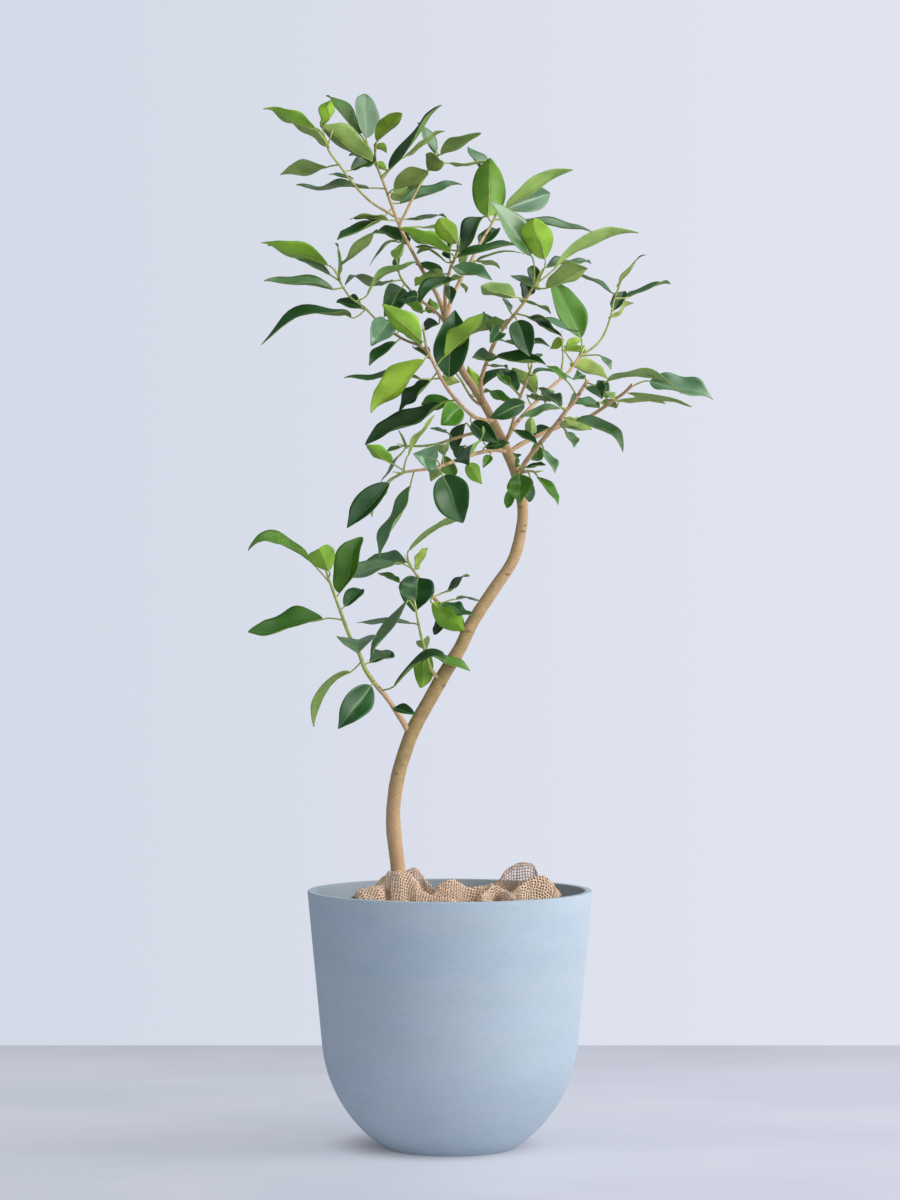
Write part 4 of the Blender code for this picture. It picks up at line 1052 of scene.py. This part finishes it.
            (-44, 584, -83, 586, 18, "G"), (-55, 583, -113, 568, 16, "G"),
            (-32, 568, -36, 534, 36, "D", -30), (-51, 564, -72, 572, 7, "M", 40),
            (-8, 553, 20, 570, 7, "D"), (-8, 542, 24, 529, 11, "D", -30), (6, 547, 30, 544, 5, "G", 35),
            (-4, 529, -16, 511, 10, "D", 30), (-18, 543, 14, 515, 24, "B", -30),
        )),
    ),
    "branch_low_inner": (
        Twig(13, (
            (-10, -3, 465, 3), (-19, -12, 477, 2.7), (-24, -16, 491, 2.4), (-30, -20, 515, 2),
            (-34, -22, 536, 1.4),
        ), (
            (-24, 494, -29, 458, 20, "B", -20), (-14, 489, 20, 475, 9, "M", 40),
            (-43, 545, -79, 487, 9, "G"), (-40, 523, -93, 523, 5, "G"),
        )),
    ),
}

# %% [markdown]
# ## Wood
#
# The trunk is as thick as a thumb, smooth and tan, and leans out before it bends back. Its route is a
# row of straight steps, so a smooth line is laid through the points first, and a tube follows it. The
# radius swells a little at old leaf scars and where a branch leaves. Twigs turn from tan bark to
# yellow-green towards their tips, and each tube carries that age from ring to ring.

# %% Smooth routes
STEP = 3.5
LUMP_SIZE = 9


def smooth_route(route):
    """Points and radii about one step apart, on a smooth line through the route."""
    spots = [(*place(x, depth, z), radius * MM) for x, depth, z, radius in route]
    spots = [Vector(spot) for spot in spots]
    spots = [2 * spots[0] - spots[1]] + spots + [2 * spots[-1] - spots[-2]]
    points, radii = [], []
    for a, b, c, d in zip(spots, spots[1:], spots[2:], spots[3:]):
        count = max(2, round((c.xyz - b.xyz).length / (STEP * MM)))
        for t in (number / count for number in range(count)):
            spot = curve(a, b, c, d, t)
            points.append(spot.xyz)
            radii.append(spot.w)
    return points + [spots[-2].xyz], radii + [spots[-2].w]


def wood_shape():
    shape = bmesh.new()
    shape.verts.layers.float.new("young")
    return shape


def knobbly(points, radii, size, seed):
    """Radii that swell gently at uneven steps, as wood does at its old leaf scars."""
    swollen = []
    for point, radius in zip(points, radii):
        lump = noise.noise(point / MM / LUMP_SIZE + Vector((seed, 0, 0)))
        swollen.append(radius * (1 + size * lump + size * max(0, lump) ** 2))
    return swollen


# %% [markdown]
# The marks on bark are built once as a group, because trunk, twigs and petioles share them: a mottle,
# small dark dots, a few larger leaf scars, and a grain across the stem. Each material lays its own
# colours over them, and the trunk is paler at its foot and top.

# %% Bark
SCAR_STRETCH = (0.7, 0.7, 1.5)


def new_group(name, inputs, outputs):
    """An empty group of number sockets, with its start and end nodes."""
    group = bpy.data.node_groups.new(name, "ShaderNodeTree")
    for way, sockets in (("INPUT", inputs), ("OUTPUT", outputs)):
        for socket in sockets:
            group.interface.new_socket(socket, in_out=way, socket_type="NodeSocketFloat")
    return group, group.nodes.new("NodeGroupInput").outputs, group.nodes.new("NodeGroupOutput")


def use_group(tree, group, **settings):
    """Adds a group to a material and returns its outputs."""
    made = tree.nodes.new("ShaderNodeGroup")
    made.node_tree = group
    for name, value in settings.items():
        made.inputs[name.replace("_", " ")].default_value = value
    return made.outputs


def bark_group():
    group, given, end = new_group("bark marks", ("Size",), ("Mottle", "Dots", "Grain", "Height"))
    scaled = vectors(group, "MULTIPLY", coordinates(group), given["Size"])
    mottle = cloudy(group, scaled, 1, 5)
    fine = cloudy(group, scaled, 6, 4, (0.3, 0.3, 2.2))
    dots = ramp(group, cells(group, scaled, 3.2), 0.12, 0.26, 0.8, 0)
    dots = maths(group, "MULTIPLY", dots, ramp(group, mottle, 0.4, 0.6))
    rare = cells(group, vectors(group, "MULTIPLY", scaled, SCAR_STRETCH), 0.7)
    dots = maths(group, "MAXIMUM", dots, ramp(group, rare, 0.11, 0.2, 1.8, 0))
    height = maths(group, "MULTIPLY", maths(group, "ADD", fine, dots), 0.6)
    wire(group, end, Mottle=mottle, Dots=dots, Grain=fine, Height=height)
    return group


bark_marks = bark_group()
TRUNK_WOOD = ((0.32, 0.226, 0.088), (0.44, 0.305, 0.130))
PALE_WOOD = (0.60, 0.385, 0.222)
TWIG_WOOD = ((0.52, 0.330, 0.170), (0.66, 0.440, 0.250))
GREEN_WOOD = ((0.27, 0.35, 0.06), (0.42, 0.50, 0.12))
SCAR = (0.17, 0.105, 0.06)
BUD = (0.60, 0.58, 0.22)
CUT_WOOD = (0.74, 0.62, 0.34)
BUD_AGE, CUT_AGE = 2, -1
MARKS_TO_A_METRE = 110
TRUNK_SIDES = 24
TRUNK_LUMPS = 0.05
YOUNG_FROM, YOUNG_OVER = 0.72, 0.5  # metres up the trunk


def bark(name, old, green, roughness, pale=None):
    material, tree, shader = finish(name, Roughness=roughness)
    marks = use_group(tree, bark_marks, Size=MARKS_TO_A_METRE)
    young = stored(tree, "young")["Fac"]
    share = ramp(tree, marks["Mottle"], 0.32, 0.68)
    shade = mix(tree, ramp(tree, young, 0.15, 0.75), mix(tree, share, *old), mix(tree, share, *green))
    if pale:
        tall = axes(tree, coordinates(tree))[2]
        foot, top = ramp(tree, tall, 0.30, 0.42, 0.7, 0), ramp(tree, tall, 0.48, 0.58, 0, 0.5)
        shade = mix(tree, maths(tree, "ADD", foot, top), shade, pale)
    shade = tinted(tree, shade, (marks["Grain"], 0.6, 0.38, 0.28, SCAR))
    dots = maths(tree, "MULTIPLY", marks["Dots"], ramp(tree, young, 0.1, 0.8, 0.4, 0.1))
    shade = mix(tree, dots, shade, SCAR)
    shade = tinted(tree, shade, (young, 1.1, BUD_AGE, 1, BUD), (young, -0.1, CUT_AGE, 1, CUT_WOOD))
    wire(tree, shader, Base_Color=shade, Normal=bump(tree, marks["Height"], 0.5, 0.0009))
    return material


trunk_bark = bark("tan bark", TRUNK_WOOD, GREEN_WOOD, 0.62, PALE_WOOD)
twig_bark = bark("twig bark", TWIG_WOOD, GREEN_WOOD, 0.5)

shape = wood_shape()
points, radii = smooth_route(TRUNK_ROUTE)
radii = knobbly(points, radii, TRUNK_LUMPS, 3)
young = [max(0, (point.z - YOUNG_FROM) / YOUNG_OVER) for point in points]
ages = [0, *young, young[-1]]
add_tube(shape, [points[0], *points, points[-1]], [0, *radii, 0], TRUNK_SIDES, ages)
close_seams(shape)
piece("trunk_stem", shape, [trunk_bark], "bark", "trunk")

# %% [markdown]
# ## Leaves
#
# A leaf's row fixes where its blade begins, where its tip is and how wide it looks. How the blade then
# leans and bends is worked out by rule, the same rule and the same random numbers as for its solid.
# There, a leaf that would have crossed another was moved in depth until it was clear. Here each leaf is
# offered those depths in turn, and takes the one at which it lies on its solid.

# %% Leaf rule
TOWARD_VIEWER = Vector((0, -1, 0))
ROOT_SINK = 0.7  # of the twig's radius, past its middle
TWIG_END = 3  # the bare end of every twig
STALK_LEAST = 10
STALK_SLANT = 0.45  # how far down the twig a stalk starts, as a share of its reach
BLADE_WIDTH_SHARE = 0.46
ARCH = (0.05, 0.05)  # least and varying rise of the midrib, as shares of its length
MOST_TWIST = 0.35
USUAL_LEAF = 70
MOST_LEAN = 50
LEAN_VARIES = 10
BASE_DEPTH_SHARE = 0.25
VIA_DEPTH_SHARE = 0.6
DEPTH_SHIFTS = (0, 10, -10, 20, -20, 30, -30, 42, -42, 55, -55, 70, -70, 85, -85)
LONG_BLADE = 54
LONG_BLADE_STATIONS = (0.2, 0.5, 0.8, 1)
SHORT_BLADE_STATIONS = (0.28, 0.72, 1)
SOLID_REACH = 0.9

# Spare leaves, on the side of a twig that the front view hides
SPARE_PITCH = 62
SPARE_FROM = 0.3
SPARE_SPAN = 0.65
SPARE_SIZE = (52, 70)
SPARE_STALK_SHARE = 0.2
SPARE_REACH = 0.5
SPARE_RISE = (0.1, 0.35)
SPARE_WIDTH = 14
SPARE_DEPTH = 0.8
SEED = 11
Leaf = namedtuple("Leaf", "root base via tip across width twist")


def deepened(twig, start):
    """The twig with its depths spread out from where its branch leaves the trunk."""
    deep = [(x, start + (depth - start) * DEPTH_SPREAD, z, radius) for x, depth, z, radius in twig.route]
    return twig._replace(route=deep)


def nearest_on(route, x, z):
    """Where a route passes nearest to a reading: the distance along it, and the distance off it."""
    best = None
    gone = 0
    for (ax, _, az, _), (bx, _, bz, _) in zip(route, route[1:]):
        run = Vector((bx - ax, bz - az))
        share = max(0, min(1, Vector((x - ax, z - az)).dot(run) / run.length_squared))
        off = (Vector((x - ax, z - az)) - run * share).length
        if best is None or off < best[1]:
            best = (gone + run.length * share, off, run.normalized())
        gone += run.length
    return best


def at_along(route, along):
    """The (x, depth, z, radius) of a route this far along it, as read from the front."""
    gone = 0
    for start, end in zip(route, route[1:]):
        step = math.hypot(end[0] - start[0], end[2] - start[2])
        if along <= gone + step or end is route[-1]:
            share = min(1, (along - gone) / step)
            return [a + (b - a) * share for a, b in zip(start, end)]
        gone += step


def route_length(route):
    return sum(math.hypot(b[0] - a[0], b[2] - a[2]) for a, b in zip(route, route[1:]))


def seen_axes(way):
    """Square to a leaf's line: the direction most towards the viewer, and the upward one beside it."""
    front = (TOWARD_VIEWER - way * TOWARD_VIEWER.dot(way)).normalized()
    level = way.cross(front)
    return front, level if level.z >= 0 else -level


def leaf_from(twig, row, shift, luck):
    """Works out one leaf from its row: where its stalk starts, its midrib and how its blade turns."""
    bx, bz, tx, tz, seen, tone = row[:6]
    faces_front = tone in UPPER_TONES
    drawn = math.hypot(tx - bx, tz - bz)
    if len(row) > 6:
        depth = row[6]
    else:
        lean = min(MOST_LEAN, math.sqrt(max(0, USUAL_LEAF**2 - drawn**2)))
        rising = tz >= bz
        depth = lean if rising == faces_front else -lean
        depth += LEAN_VARIES * luck[0]
    depth += shift
    along, off, run = nearest_on(twig.route, bx, bz)
    toward = Vector((tx - bx, tz - bz)).dot(run)
    along -= STALK_SLANT * off * (1 if toward >= 0 else -1)
    first = (twig.collar or 0) + TWIG_END
    along = max(first, min(route_length(twig.route) - TWIG_END, along))
    rx, ry, rz, radius = at_along(twig.route, along)
    out = math.sqrt(max(0, STALK_LEAST**2 - (bx - rx) ** 2 - (bz - rz) ** 2))
    base_depth = ry + BASE_DEPTH_SHARE * depth + (out if depth > 0 else -out)
    root = place(rx, ry, rz)
    base = place(bx, base_depth, bz)
    root -= (base - root).normalized() * (ROOT_SINK * radius * MM)
    tip = place(tx, ry + depth, tz)
    way = (tip - base).normalized()
    front, level = seen_axes(way)
    width = max(seen, BLADE_WIDTH_SHARE * (tip - base).length / MM)
    share = seen / width * (1 if faces_front else -1)
    up = front * share + level * math.sqrt(1 - share * share)
    if len(row) > 8:
        via = place(row[7], ry + VIA_DEPTH_SHARE * depth, row[8])
    else:
        arch = (ARCH[0] + ARCH[1] * luck[1]) * (tip - base).length
        via = (base + tip) / 2 + up * arch
    return Leaf(root, base, via, tip, way.cross(up), width, MOST_TWIST * luck[2])


def spare_rows(twig, chance):
    """Rows for the leaves on the side of a twig that the front view hides."""
    length = route_length(twig.route)
    count = int(length / SPARE_PITCH)
    for number in range(count):
        along = length * (SPARE_FROM + SPARE_SPAN * (number + 0.5) / count)
        x, _, z, _ = at_along(twig.route, along)
        turn = chance.uniform(0, math.tau)
        size = chance.uniform(*SPARE_SIZE)
        dx = SPARE_REACH * size * math.cos(turn)
        dz = size * (SPARE_RISE[0] + SPARE_RISE[1] * math.sin(turn))
        base = (x + SPARE_STALK_SHARE * dx, z + SPARE_STALK_SHARE * dz)
        yield (*base, x + dx, z + dz, SPARE_WIDTH, "D" if dz > 0 else "O", SPARE_DEPTH * size)


def midrib(leaf, share):
    """A point on the midrib and its direction."""
    control = 2 * leaf.via - (leaf.base + leaf.tip) / 2
    here = leaf.base.lerp(control, share).lerp(control.lerp(leaf.tip, share), share)
    return here, (control - leaf.base).lerp(leaf.tip - control, share).normalized()


def seated(twig, row, luck, solid):
    """The leaf at the depth where it lies on the node's solid, or none if that has no such leaf."""
    for shift in DEPTH_SHIFTS:
        leaf = leaf_from(twig, row, shift, luck)
        long = (leaf.tip - leaf.base).length > LONG_BLADE * MM
        stations = LONG_BLADE_STATIONS if long else SHORT_BLADE_STATIONS
        spots = [midrib(leaf, share)[0] for share in stations]
        if all(solid.find_nearest(spot)[3] < SOLID_REACH * MM for spot in spots):
            return leaf
    return None


# %% [markdown]
# A blade is a grid whose rows are closer together near both ends, where its outline turns fastest. The
# outline is a rounded ellipse with a short blunt point. Across, the blade folds up from its midrib in a
# soft curve, and its edges wave a little, which no two leaves share. The stalk and the midrib are one
# thin tapering tube that runs under the blade. It stands out below, as it does on a real leaf.

# %% Blade and stalk
BLADE_CELLS = (10, 26)
BLADE_SKEW = 0.85  # puts the widest place a little nearer the stalk
POINT_FROM = 0.78  # where the blunt tip starts
RIB_SHARES = (0, 0.12, 0.25, 0.4, 0.55, 0.7, 0.83, 0.93)
RIB_END = 0.985
ROLL_PARTS = (1, 0.85, 0.7, 0.55, 0.4, 0.25)
LEAST_FOLD = 0.12
SEEN_SLACK = 1.1
CENTRED = 0.45  # how much of the way a blade is moved to the middle of its reading
STALK_SIDES = 6


def blade_half(share, taper):
    """Half of the blade's width at a share of its length, as a share of its full half width."""
    body = max(0, math.sin(math.pi * share**BLADE_SKEW)) ** taper
    point = max(0, (share - POINT_FROM) / (1 - POINT_FROM))
    return body * (1 - 0.42 * point * (1 - point) - 0.25 * point**2)


def blade_frame(leaf, share):
    """The midrib's point at a share, with the directions along, across and up from the blade."""
    here, way = midrib(leaf, share)
    across = leaf.across - way * leaf.across.dot(way)
    across = Matrix.Rotation((share - 0.5) * leaf.twist, 3, way) @ across.normalized()
    return here, way, across, across.cross(way)


Wave = namedtuple("Wave", "fold taper ripple count start lag curl sway dip")


def bent(leaf, wave, share):
    """How far the midrib at a share strays from its plain arch: a sideways and an upward bend, and a
    rise before a tip that turns down. Both ends stay where they are."""
    _, _, across, up = blade_frame(leaf, share)
    length = (leaf.tip - leaf.base).length
    turn = math.sin(math.tau * share) * math.sin(math.pi * share)
    curl = wave.curl * (0.09 * share**3 - max(0, share - 0.7) ** 2)
    return (across * (wave.sway * turn) + up * (wave.dip * turn + curl)) * length


def seen_band(leaf, wave):
    """The line from a leaf's base to its tip as seen from the front, and how far its two edges and its
    midrib look to lie off that line at eight places along it, in millimetres."""
    line = Vector((leaf.tip.x - leaf.base.x, leaf.tip.z - leaf.base.z))
    marks = np.linspace(0.15, 0.85, 8) * line.length
    line.normalize()
    offsets = []
    for side in (-1, 0, 1):
        spots = []
        for share in RIB_SHARES + (1,):
            here, _, across, up = blade_frame(leaf, share)
            half = blade_half(share, wave.taper) * leaf.width / 2 * MM
            spot = here + bent(leaf, wave, share) + (across * side + up * (wave.fold * abs(side))) * half
            spot = Vector((spot.x - leaf.base.x, spot.z - leaf.base.z))
            spots.append((spot.dot(line), line.cross(spot)))
        along, off = zip(*sorted(spots))
        offsets.append(np.interp(marks, along, off))
    return line, np.array(offsets) / MM


def slimmed(leaf, wave, seen, faces_front):
    """The leaf rolled towards edge-on, in steps, until it looks about as narrow as its row says."""
    way = (leaf.tip - leaf.base).normalized()
    front, level = seen_axes(way)
    turned = seen / leaf.width
    for part in ROLL_PARTS:
        share = turned * part * (1 if faces_front else -1)
        up = front * share + level * math.sqrt(1 - share * share)
        leaf = leaf._replace(across=way.cross(up))
        wave = wave._replace(fold=min(wave.fold, max(LEAST_FOLD, turned * part)))
        if np.ptp(seen_band(leaf, wave)[1], axis=0).max() < SEEN_SLACK * seen:
            break
    return leaf, wave


def centred(leaf, wave, has_via):
    """The leaf with its arch moved sideways, so that its blade covers the middle of its reading."""
    line, offsets = seen_band(leaf, wave)
    middle = (offsets.max(axis=0) + offsets.min(axis=0))[3:5].mean() / 2
    if has_via:
        middle -= line.cross(Vector((leaf.via.x - leaf.base.x, leaf.via.z - leaf.base.z))) / MM
    return leaf._replace(via=leaf.via - Vector((-line.y, 0, line.x)) * (CENTRED * middle * MM))


def add_blade(shape, leaf, upper, under, wave):
    """One blade, with its place across and along in millimetres and its two colours on each point."""
    spread = shape.verts.layers.float_vector["blade"]
    tints = shape.verts.layers.float_color["upper"], shape.verts.layers.float_color["under"]
    length = (leaf.tip - leaf.base).length / MM
    made = bmesh.ops.create_grid(shape, x_segments=BLADE_CELLS[0], y_segments=BLADE_CELLS[1], size=1)
    for vert in made["verts"]:
        across_share = vert.co.x
        share = (1 - math.cos(math.pi * (vert.co.y + 1) / 2)) / 2
        here, way, across, up = blade_frame(leaf, share)
        half = blade_half(share, wave.taper) * leaf.width / 2
        bend = bent(leaf, wave, share)
        phase = math.tau * (wave.count * share + wave.start) + (across_share > 0) * wave.lag
        ripple = wave.ripple * math.sin(phase)
        lift = half * (wave.fold * abs(across_share) ** 1.15 + ripple * across_share**2)
        vert.co = here + bend + across * (across_share * half * MM) + up * (lift * MM)
        vert[spread] = (across_share * half, share * length, share)
        vert[tints[0]] = upper
        vert[tints[1]] = under
    faces = {face for vert in made["verts"] for face in vert.link_faces}
    _, _, _, up = blade_frame(leaf, 0.5)
    tilt = sum((face.normal_update() or face.normal.dot(up)) for face in faces)
    if tilt < 0:
        bmesh.ops.reverse_faces(shape, faces=list(faces))


def add_stalk(shape, leaf, radius, wave):
    """The petiole from the twig to the blade, and on as the midrib under it."""
    first, along, _, _ = blade_frame(leaf, 0)
    knee = leaf.base - along * (0.3 * (leaf.base - leaf.root).length)
    points = [leaf.root.lerp(knee, t).lerp(knee.lerp(leaf.base, t), t) for t in (0, 0.3, 0.6, 0.85)]
    radii = [radius * 1.25, radius * 1.05, radius, radius]
    for share in RIB_SHARES:
        here, _, _, up = blade_frame(leaf, share)
        thick = radius * (0.92 - 0.78 * share)
        points.append(here + bent(leaf, wave, share) - up * (0.55 * thick * MM))
        radii.append(thick)
    points.append(blade_frame(leaf, RIB_END)[0] + bent(leaf, wave, RIB_END))
    radii.append(0)
    add_tube(shape, points, [value * MM for value in radii], STALK_SIDES, [1.0] * len(points))


# %% [markdown]
# ## Leaf finish
#
# Seen from above a leaf is dark and waxy, with a pale midrib and faint side veins; from below it is
# duller, yellower and more strongly veined. The veins are drawn from the blade's own measures, so they
# keep their width in a large leaf and a small one. Both sides use one group for them.

# %% Leaf veins
def vein_group():
    made = ("Midrib", "Veins", "Height", "Clouds", "Tip")
    group, given, end = new_group("leaf veins", ("Pitch", "Rib Width"), made)
    across, along, share = axes(group, stored(group, "blade")["Vector"])
    off = maths(group, "ABSOLUTE", across)
    width = maths(group, "MULTIPLY", given["Rib Width"], ramp(group, share, 0.1, 1, 1, 0.25))
    rib = ramp(group, maths(group, "DIVIDE", off, width), 0.35, 1.0, 1, 0)
    # Side veins leave the midrib at a slant and bend towards the tip.
    bend = maths(group, "MULTIPLY", maths(group, "POWER", off, 1.25), 0.32)
    turns = maths(group, "DIVIDE", maths(group, "SUBTRACT", along, bend), given["Pitch"])
    slant = maths(group, "PINGPONG", turns, 0.5)
    veins = ramp(group, slant, 0.0, 0.13, 1, 0)
    clouds = cloudy(group, coordinates(group), 55, 4)
    quilt = ramp(group, slant, 0.0, 0.5, 0, 0.12)
    height = maths(group, "MULTIPLY_ADD", rib, -0.8, quilt)
    tip = ramp(group, share, 0.965, 1.0)
    wire(group, end, Midrib=rib, Veins=veins, Height=height, Clouds=clouds, Tip=tip)
    return group


leaf_veins = vein_group()
VEIN_PITCH = 4.2
RIB_WIDTH = 0.65
DRY_TIP = (0.07, 0.05, 0.02)


def leaf_finish(name, attribute, rib, vein, vein_share, roughness, relief):
    material, tree, shader = finish(name, Coat_Roughness=0.24, Coat_IOR=1.65, Specular_IOR_Level=0.3)
    veins = use_group(tree, leaf_veins, Pitch=VEIN_PITCH, Rib_Width=RIB_WIDTH)
    tint = stored(tree, attribute)
    clouds = ramp(tree, veins["Clouds"], 0.3, 0.7)
    clouds = mix(tree, clouds, (0.82, 0.86, 0.8), (1.18, 1.14, 1.1))
    shade = mix(tree, 1.0, tint["Color"], clouds, "MULTIPLY")
    for mark, most, over in (("Veins", vein_share, vein), ("Midrib", 0.7, rib), ("Tip", 0.7, DRY_TIP)):
        shade = mix(tree, maths(tree, "MULTIPLY", veins[mark], most), shade, over)
    rough = ramp(tree, veins["Clouds"], 0.3, 0.7, roughness - 0.06, roughness + 0.06)
    normal = bump(tree, veins["Height"], relief, 0.0006)
    wire(tree, shader, Base_Color=shade, Coat_Weight=tint["Alpha"], Roughness=rough, Normal=normal)
    return material


upper_finish = leaf_finish(
    "leaf upper side", "upper", (0.22, 0.36, 0.10), (0.10, 0.22, 0.06), 0.10, 0.42, 0.10
)
under_finish = leaf_finish(
    "leaf underside", "under", (0.40, 0.46, 0.15), (0.30, 0.42, 0.10), 0.14, 0.55, 0.12
)

# %% [markdown]
# Six tones cover the crown: dark, glossy and mid green upper sides; olive, bright and mid undersides.
# The glossy tone is painted lighter and greyer, a painted reflection of the window on top of its real
# wax, and the bright underside is partly its own yellow-green and partly painted light shining
# through it from behind.
# Each leaf varies a little from its tone, because leaves of one tree differ in age and in light.

# %% Growing the branches
# Red, green, blue and wax of each tone's upper and under face
TONES = {
    "D": ((0.012, 0.070, 0.012, 0.2), (0.130, 0.235, 0.050, 0.1)),
    # Glossy tone: its lighter, greyer upper colour is a painted reflection, besides its real wax.
    "G": ((0.075, 0.185, 0.078, 0.7), (0.150, 0.245, 0.085, 0.2)),
    "M": ((0.060, 0.190, 0.012, 0.15), (0.160, 0.290, 0.045, 0.1)),
    "O": ((0.030, 0.110, 0.016, 0.25), (0.230, 0.350, 0.085, 0.15)),
    # Bright tone: the under face's brightness is partly painted light shining through from behind.
    "B": ((0.085, 0.250, 0.010, 0.1), (0.215, 0.400, 0.030, 0.08)),
    "C": ((0.050, 0.160, 0.012, 0.15), (0.120, 0.260, 0.025, 0.1)),
}
STALK_RADIUS = 0.8
TWIG_SIDES = 10
TWIG_LUMPS = 0.12
TWIG_SHARE = 0.7  # a round twig next to its square-edged solid
FLARE = (0.45, 0.2)  # how much wider a branch and a side twig start
FLARE_FADE = 6
BUD_LENGTH = 9
BUD_SHAPE = ((0.2, 1.0, 1.2), (0.5, 0.85, BUD_AGE), (0.8, 0.45, BUD_AGE), (1, 0, BUD_AGE))
CUT_ENDS = ("branch_right_front", "branch_right_long")
USUAL_GREEN = 2.2  # twigs thinner than this radius turn green
GREEN_FROM = {"branch_low_left": 3.7, "branch_low_inner": 3.2, "branch_left_middle": 2.6}
GREEN_OVER = 0.9
# What a leaf seen edge-on keeps, and how much that grows for one turned to the viewer
EDGE_RIPPLE = (0.06, 0.3)
EDGE_FOLD = 0.16
EDGE_WIDTH = (0.8, 0.3)
TWIST_GROWS = 1.2


def varied(tint, own):
    light = math.exp(own.gauss(0, 0.13))
    warm = own.gauss(0, 0.07)
    return (tint[0] * light * (1 + warm), tint[1] * light, tint[2] * light * (1 - warm), tint[3])


def add_twig(shape, twig, is_side, seed, green_from, cut):
    """The twig's tube, wider where it leaves its parent and greener towards its tip, with its bud."""
    points, radii = smooth_route(twig.route)
    young = [min(1, max(0, (green_from - radius / MM) / GREEN_OVER)) for radius in radii]
    flare = [1 + FLARE[is_side] * math.exp(-number * STEP / FLARE_FADE) for number in range(len(points))]
    radii = knobbly(points, radii, TWIG_LUMPS, seed)
    radii = [TWIG_SHARE * radius * wide for radius, wide in zip(radii, flare)]
    last, thick = points[-1], radii[-1]
    if cut:
        end = ((last, thick, CUT_AGE), (last, 0, CUT_AGE))
    else:
        way = (last - points[-3]).normalized() + Vector((0, 0, 0.3))
        end = [(last + way * (BUD_LENGTH * MM * far), thick * wide, age) for far, wide, age in BUD_SHAPE]
    more_points, more_radii, more_ages = zip(*end)
    ages = [*young, *more_ages]
    add_tube(shape, [*points, *more_points], [*radii, *more_radii], TWIG_SIDES, ages)


def random_wave(own):
    return Wave(
        fold=own.uniform(0.34, 0.78),
        taper=own.uniform(0.6, 0.86),
        ripple=own.uniform(0.05, 0.26),
        count=own.uniform(0.8, 2),
        start=own.random(),
        lag=own.uniform(1, 4),
        curl=own.uniform(0, 2),
        sway=own.gauss(0, 0.028),
        dip=own.gauss(0, 0.035),
    )


def dressed(leaf, wave, row):
    """The leaf and its wave, fitted to how wide and where its row says it looks."""
    seen = row[4]
    turned = seen / leaf.width
    ripple = min(wave.ripple, EDGE_RIPPLE[0] + EDGE_RIPPLE[1] * turned)
    wave = wave._replace(fold=min(wave.fold, max(EDGE_FOLD, turned)), ripple=ripple)
    leaf, wave = slimmed(leaf, wave, seen, row[5] in UPPER_TONES)
    leaf = centred(leaf, wave, len(row) > 8)
    width = leaf.width * min(1, EDGE_WIDTH[0] + EDGE_WIDTH[1] * turned)
    return leaf._replace(width=width, twist=leaf.twist * min(1, TWIST_GROWS * turned)), wave


chance = random.Random(SEED)
own = random.Random(SEED + 1)
leaf_count = missing = 0
for branch_number, (name, twigs) in enumerate(BRANCHES.items()):
    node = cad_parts[name].data
    corners = [vert.co for vert in node.vertices]
    solid = BVHTree.FromPolygons(corners, [face.vertices for face in node.polygons])
    wood = wood_shape()
    blades = bmesh.new()
    blades.verts.layers.float_vector.new("blade")
    blades.verts.layers.float_color.new("upper")
    blades.verts.layers.float_color.new("under")
    green_from = GREEN_FROM.get(name, USUAL_GREEN)
    start = twigs[0].route[0][1]
    for number, twig in enumerate(twigs):
        twig = deepened(twig, start)
        add_twig(wood, twig, number > 0, branch_number, green_from, name in CUT_ENDS)
        for row in [*twig.leaves, *spare_rows(twig, chance)]:
            luck = [chance.uniform(-1, 1) for _ in range(3)]
            leaf = seated(twig, row, luck, solid)
            looks = [varied(tint, own) for tint in TONES[row[5]]]
            wave = random_wave(own)
            if leaf is None:
                missing += 1
                continue
            leaf, wave = dressed(leaf, wave, row)
            add_blade(blades, leaf, *looks, wave)
            add_stalk(wood, leaf, STALK_RADIUS, wave)
            leaf_count += 1
    close_seams(wood)
    bmesh.ops.remove_doubles(blades, verts=blades.verts, dist=SAME_PLACE)
    piece(name + "_wood", wood, [twig_bark], "bark", name)
    foliage = piece(name + "_leaves", blades, [upper_finish, under_finish], "leaf", name)
    wall = thicken(foliage, 0.5)
    wall.material_offset = wall.material_offset_rim = 1
print("leaves:", leaf_count, "without a solid:", missing)
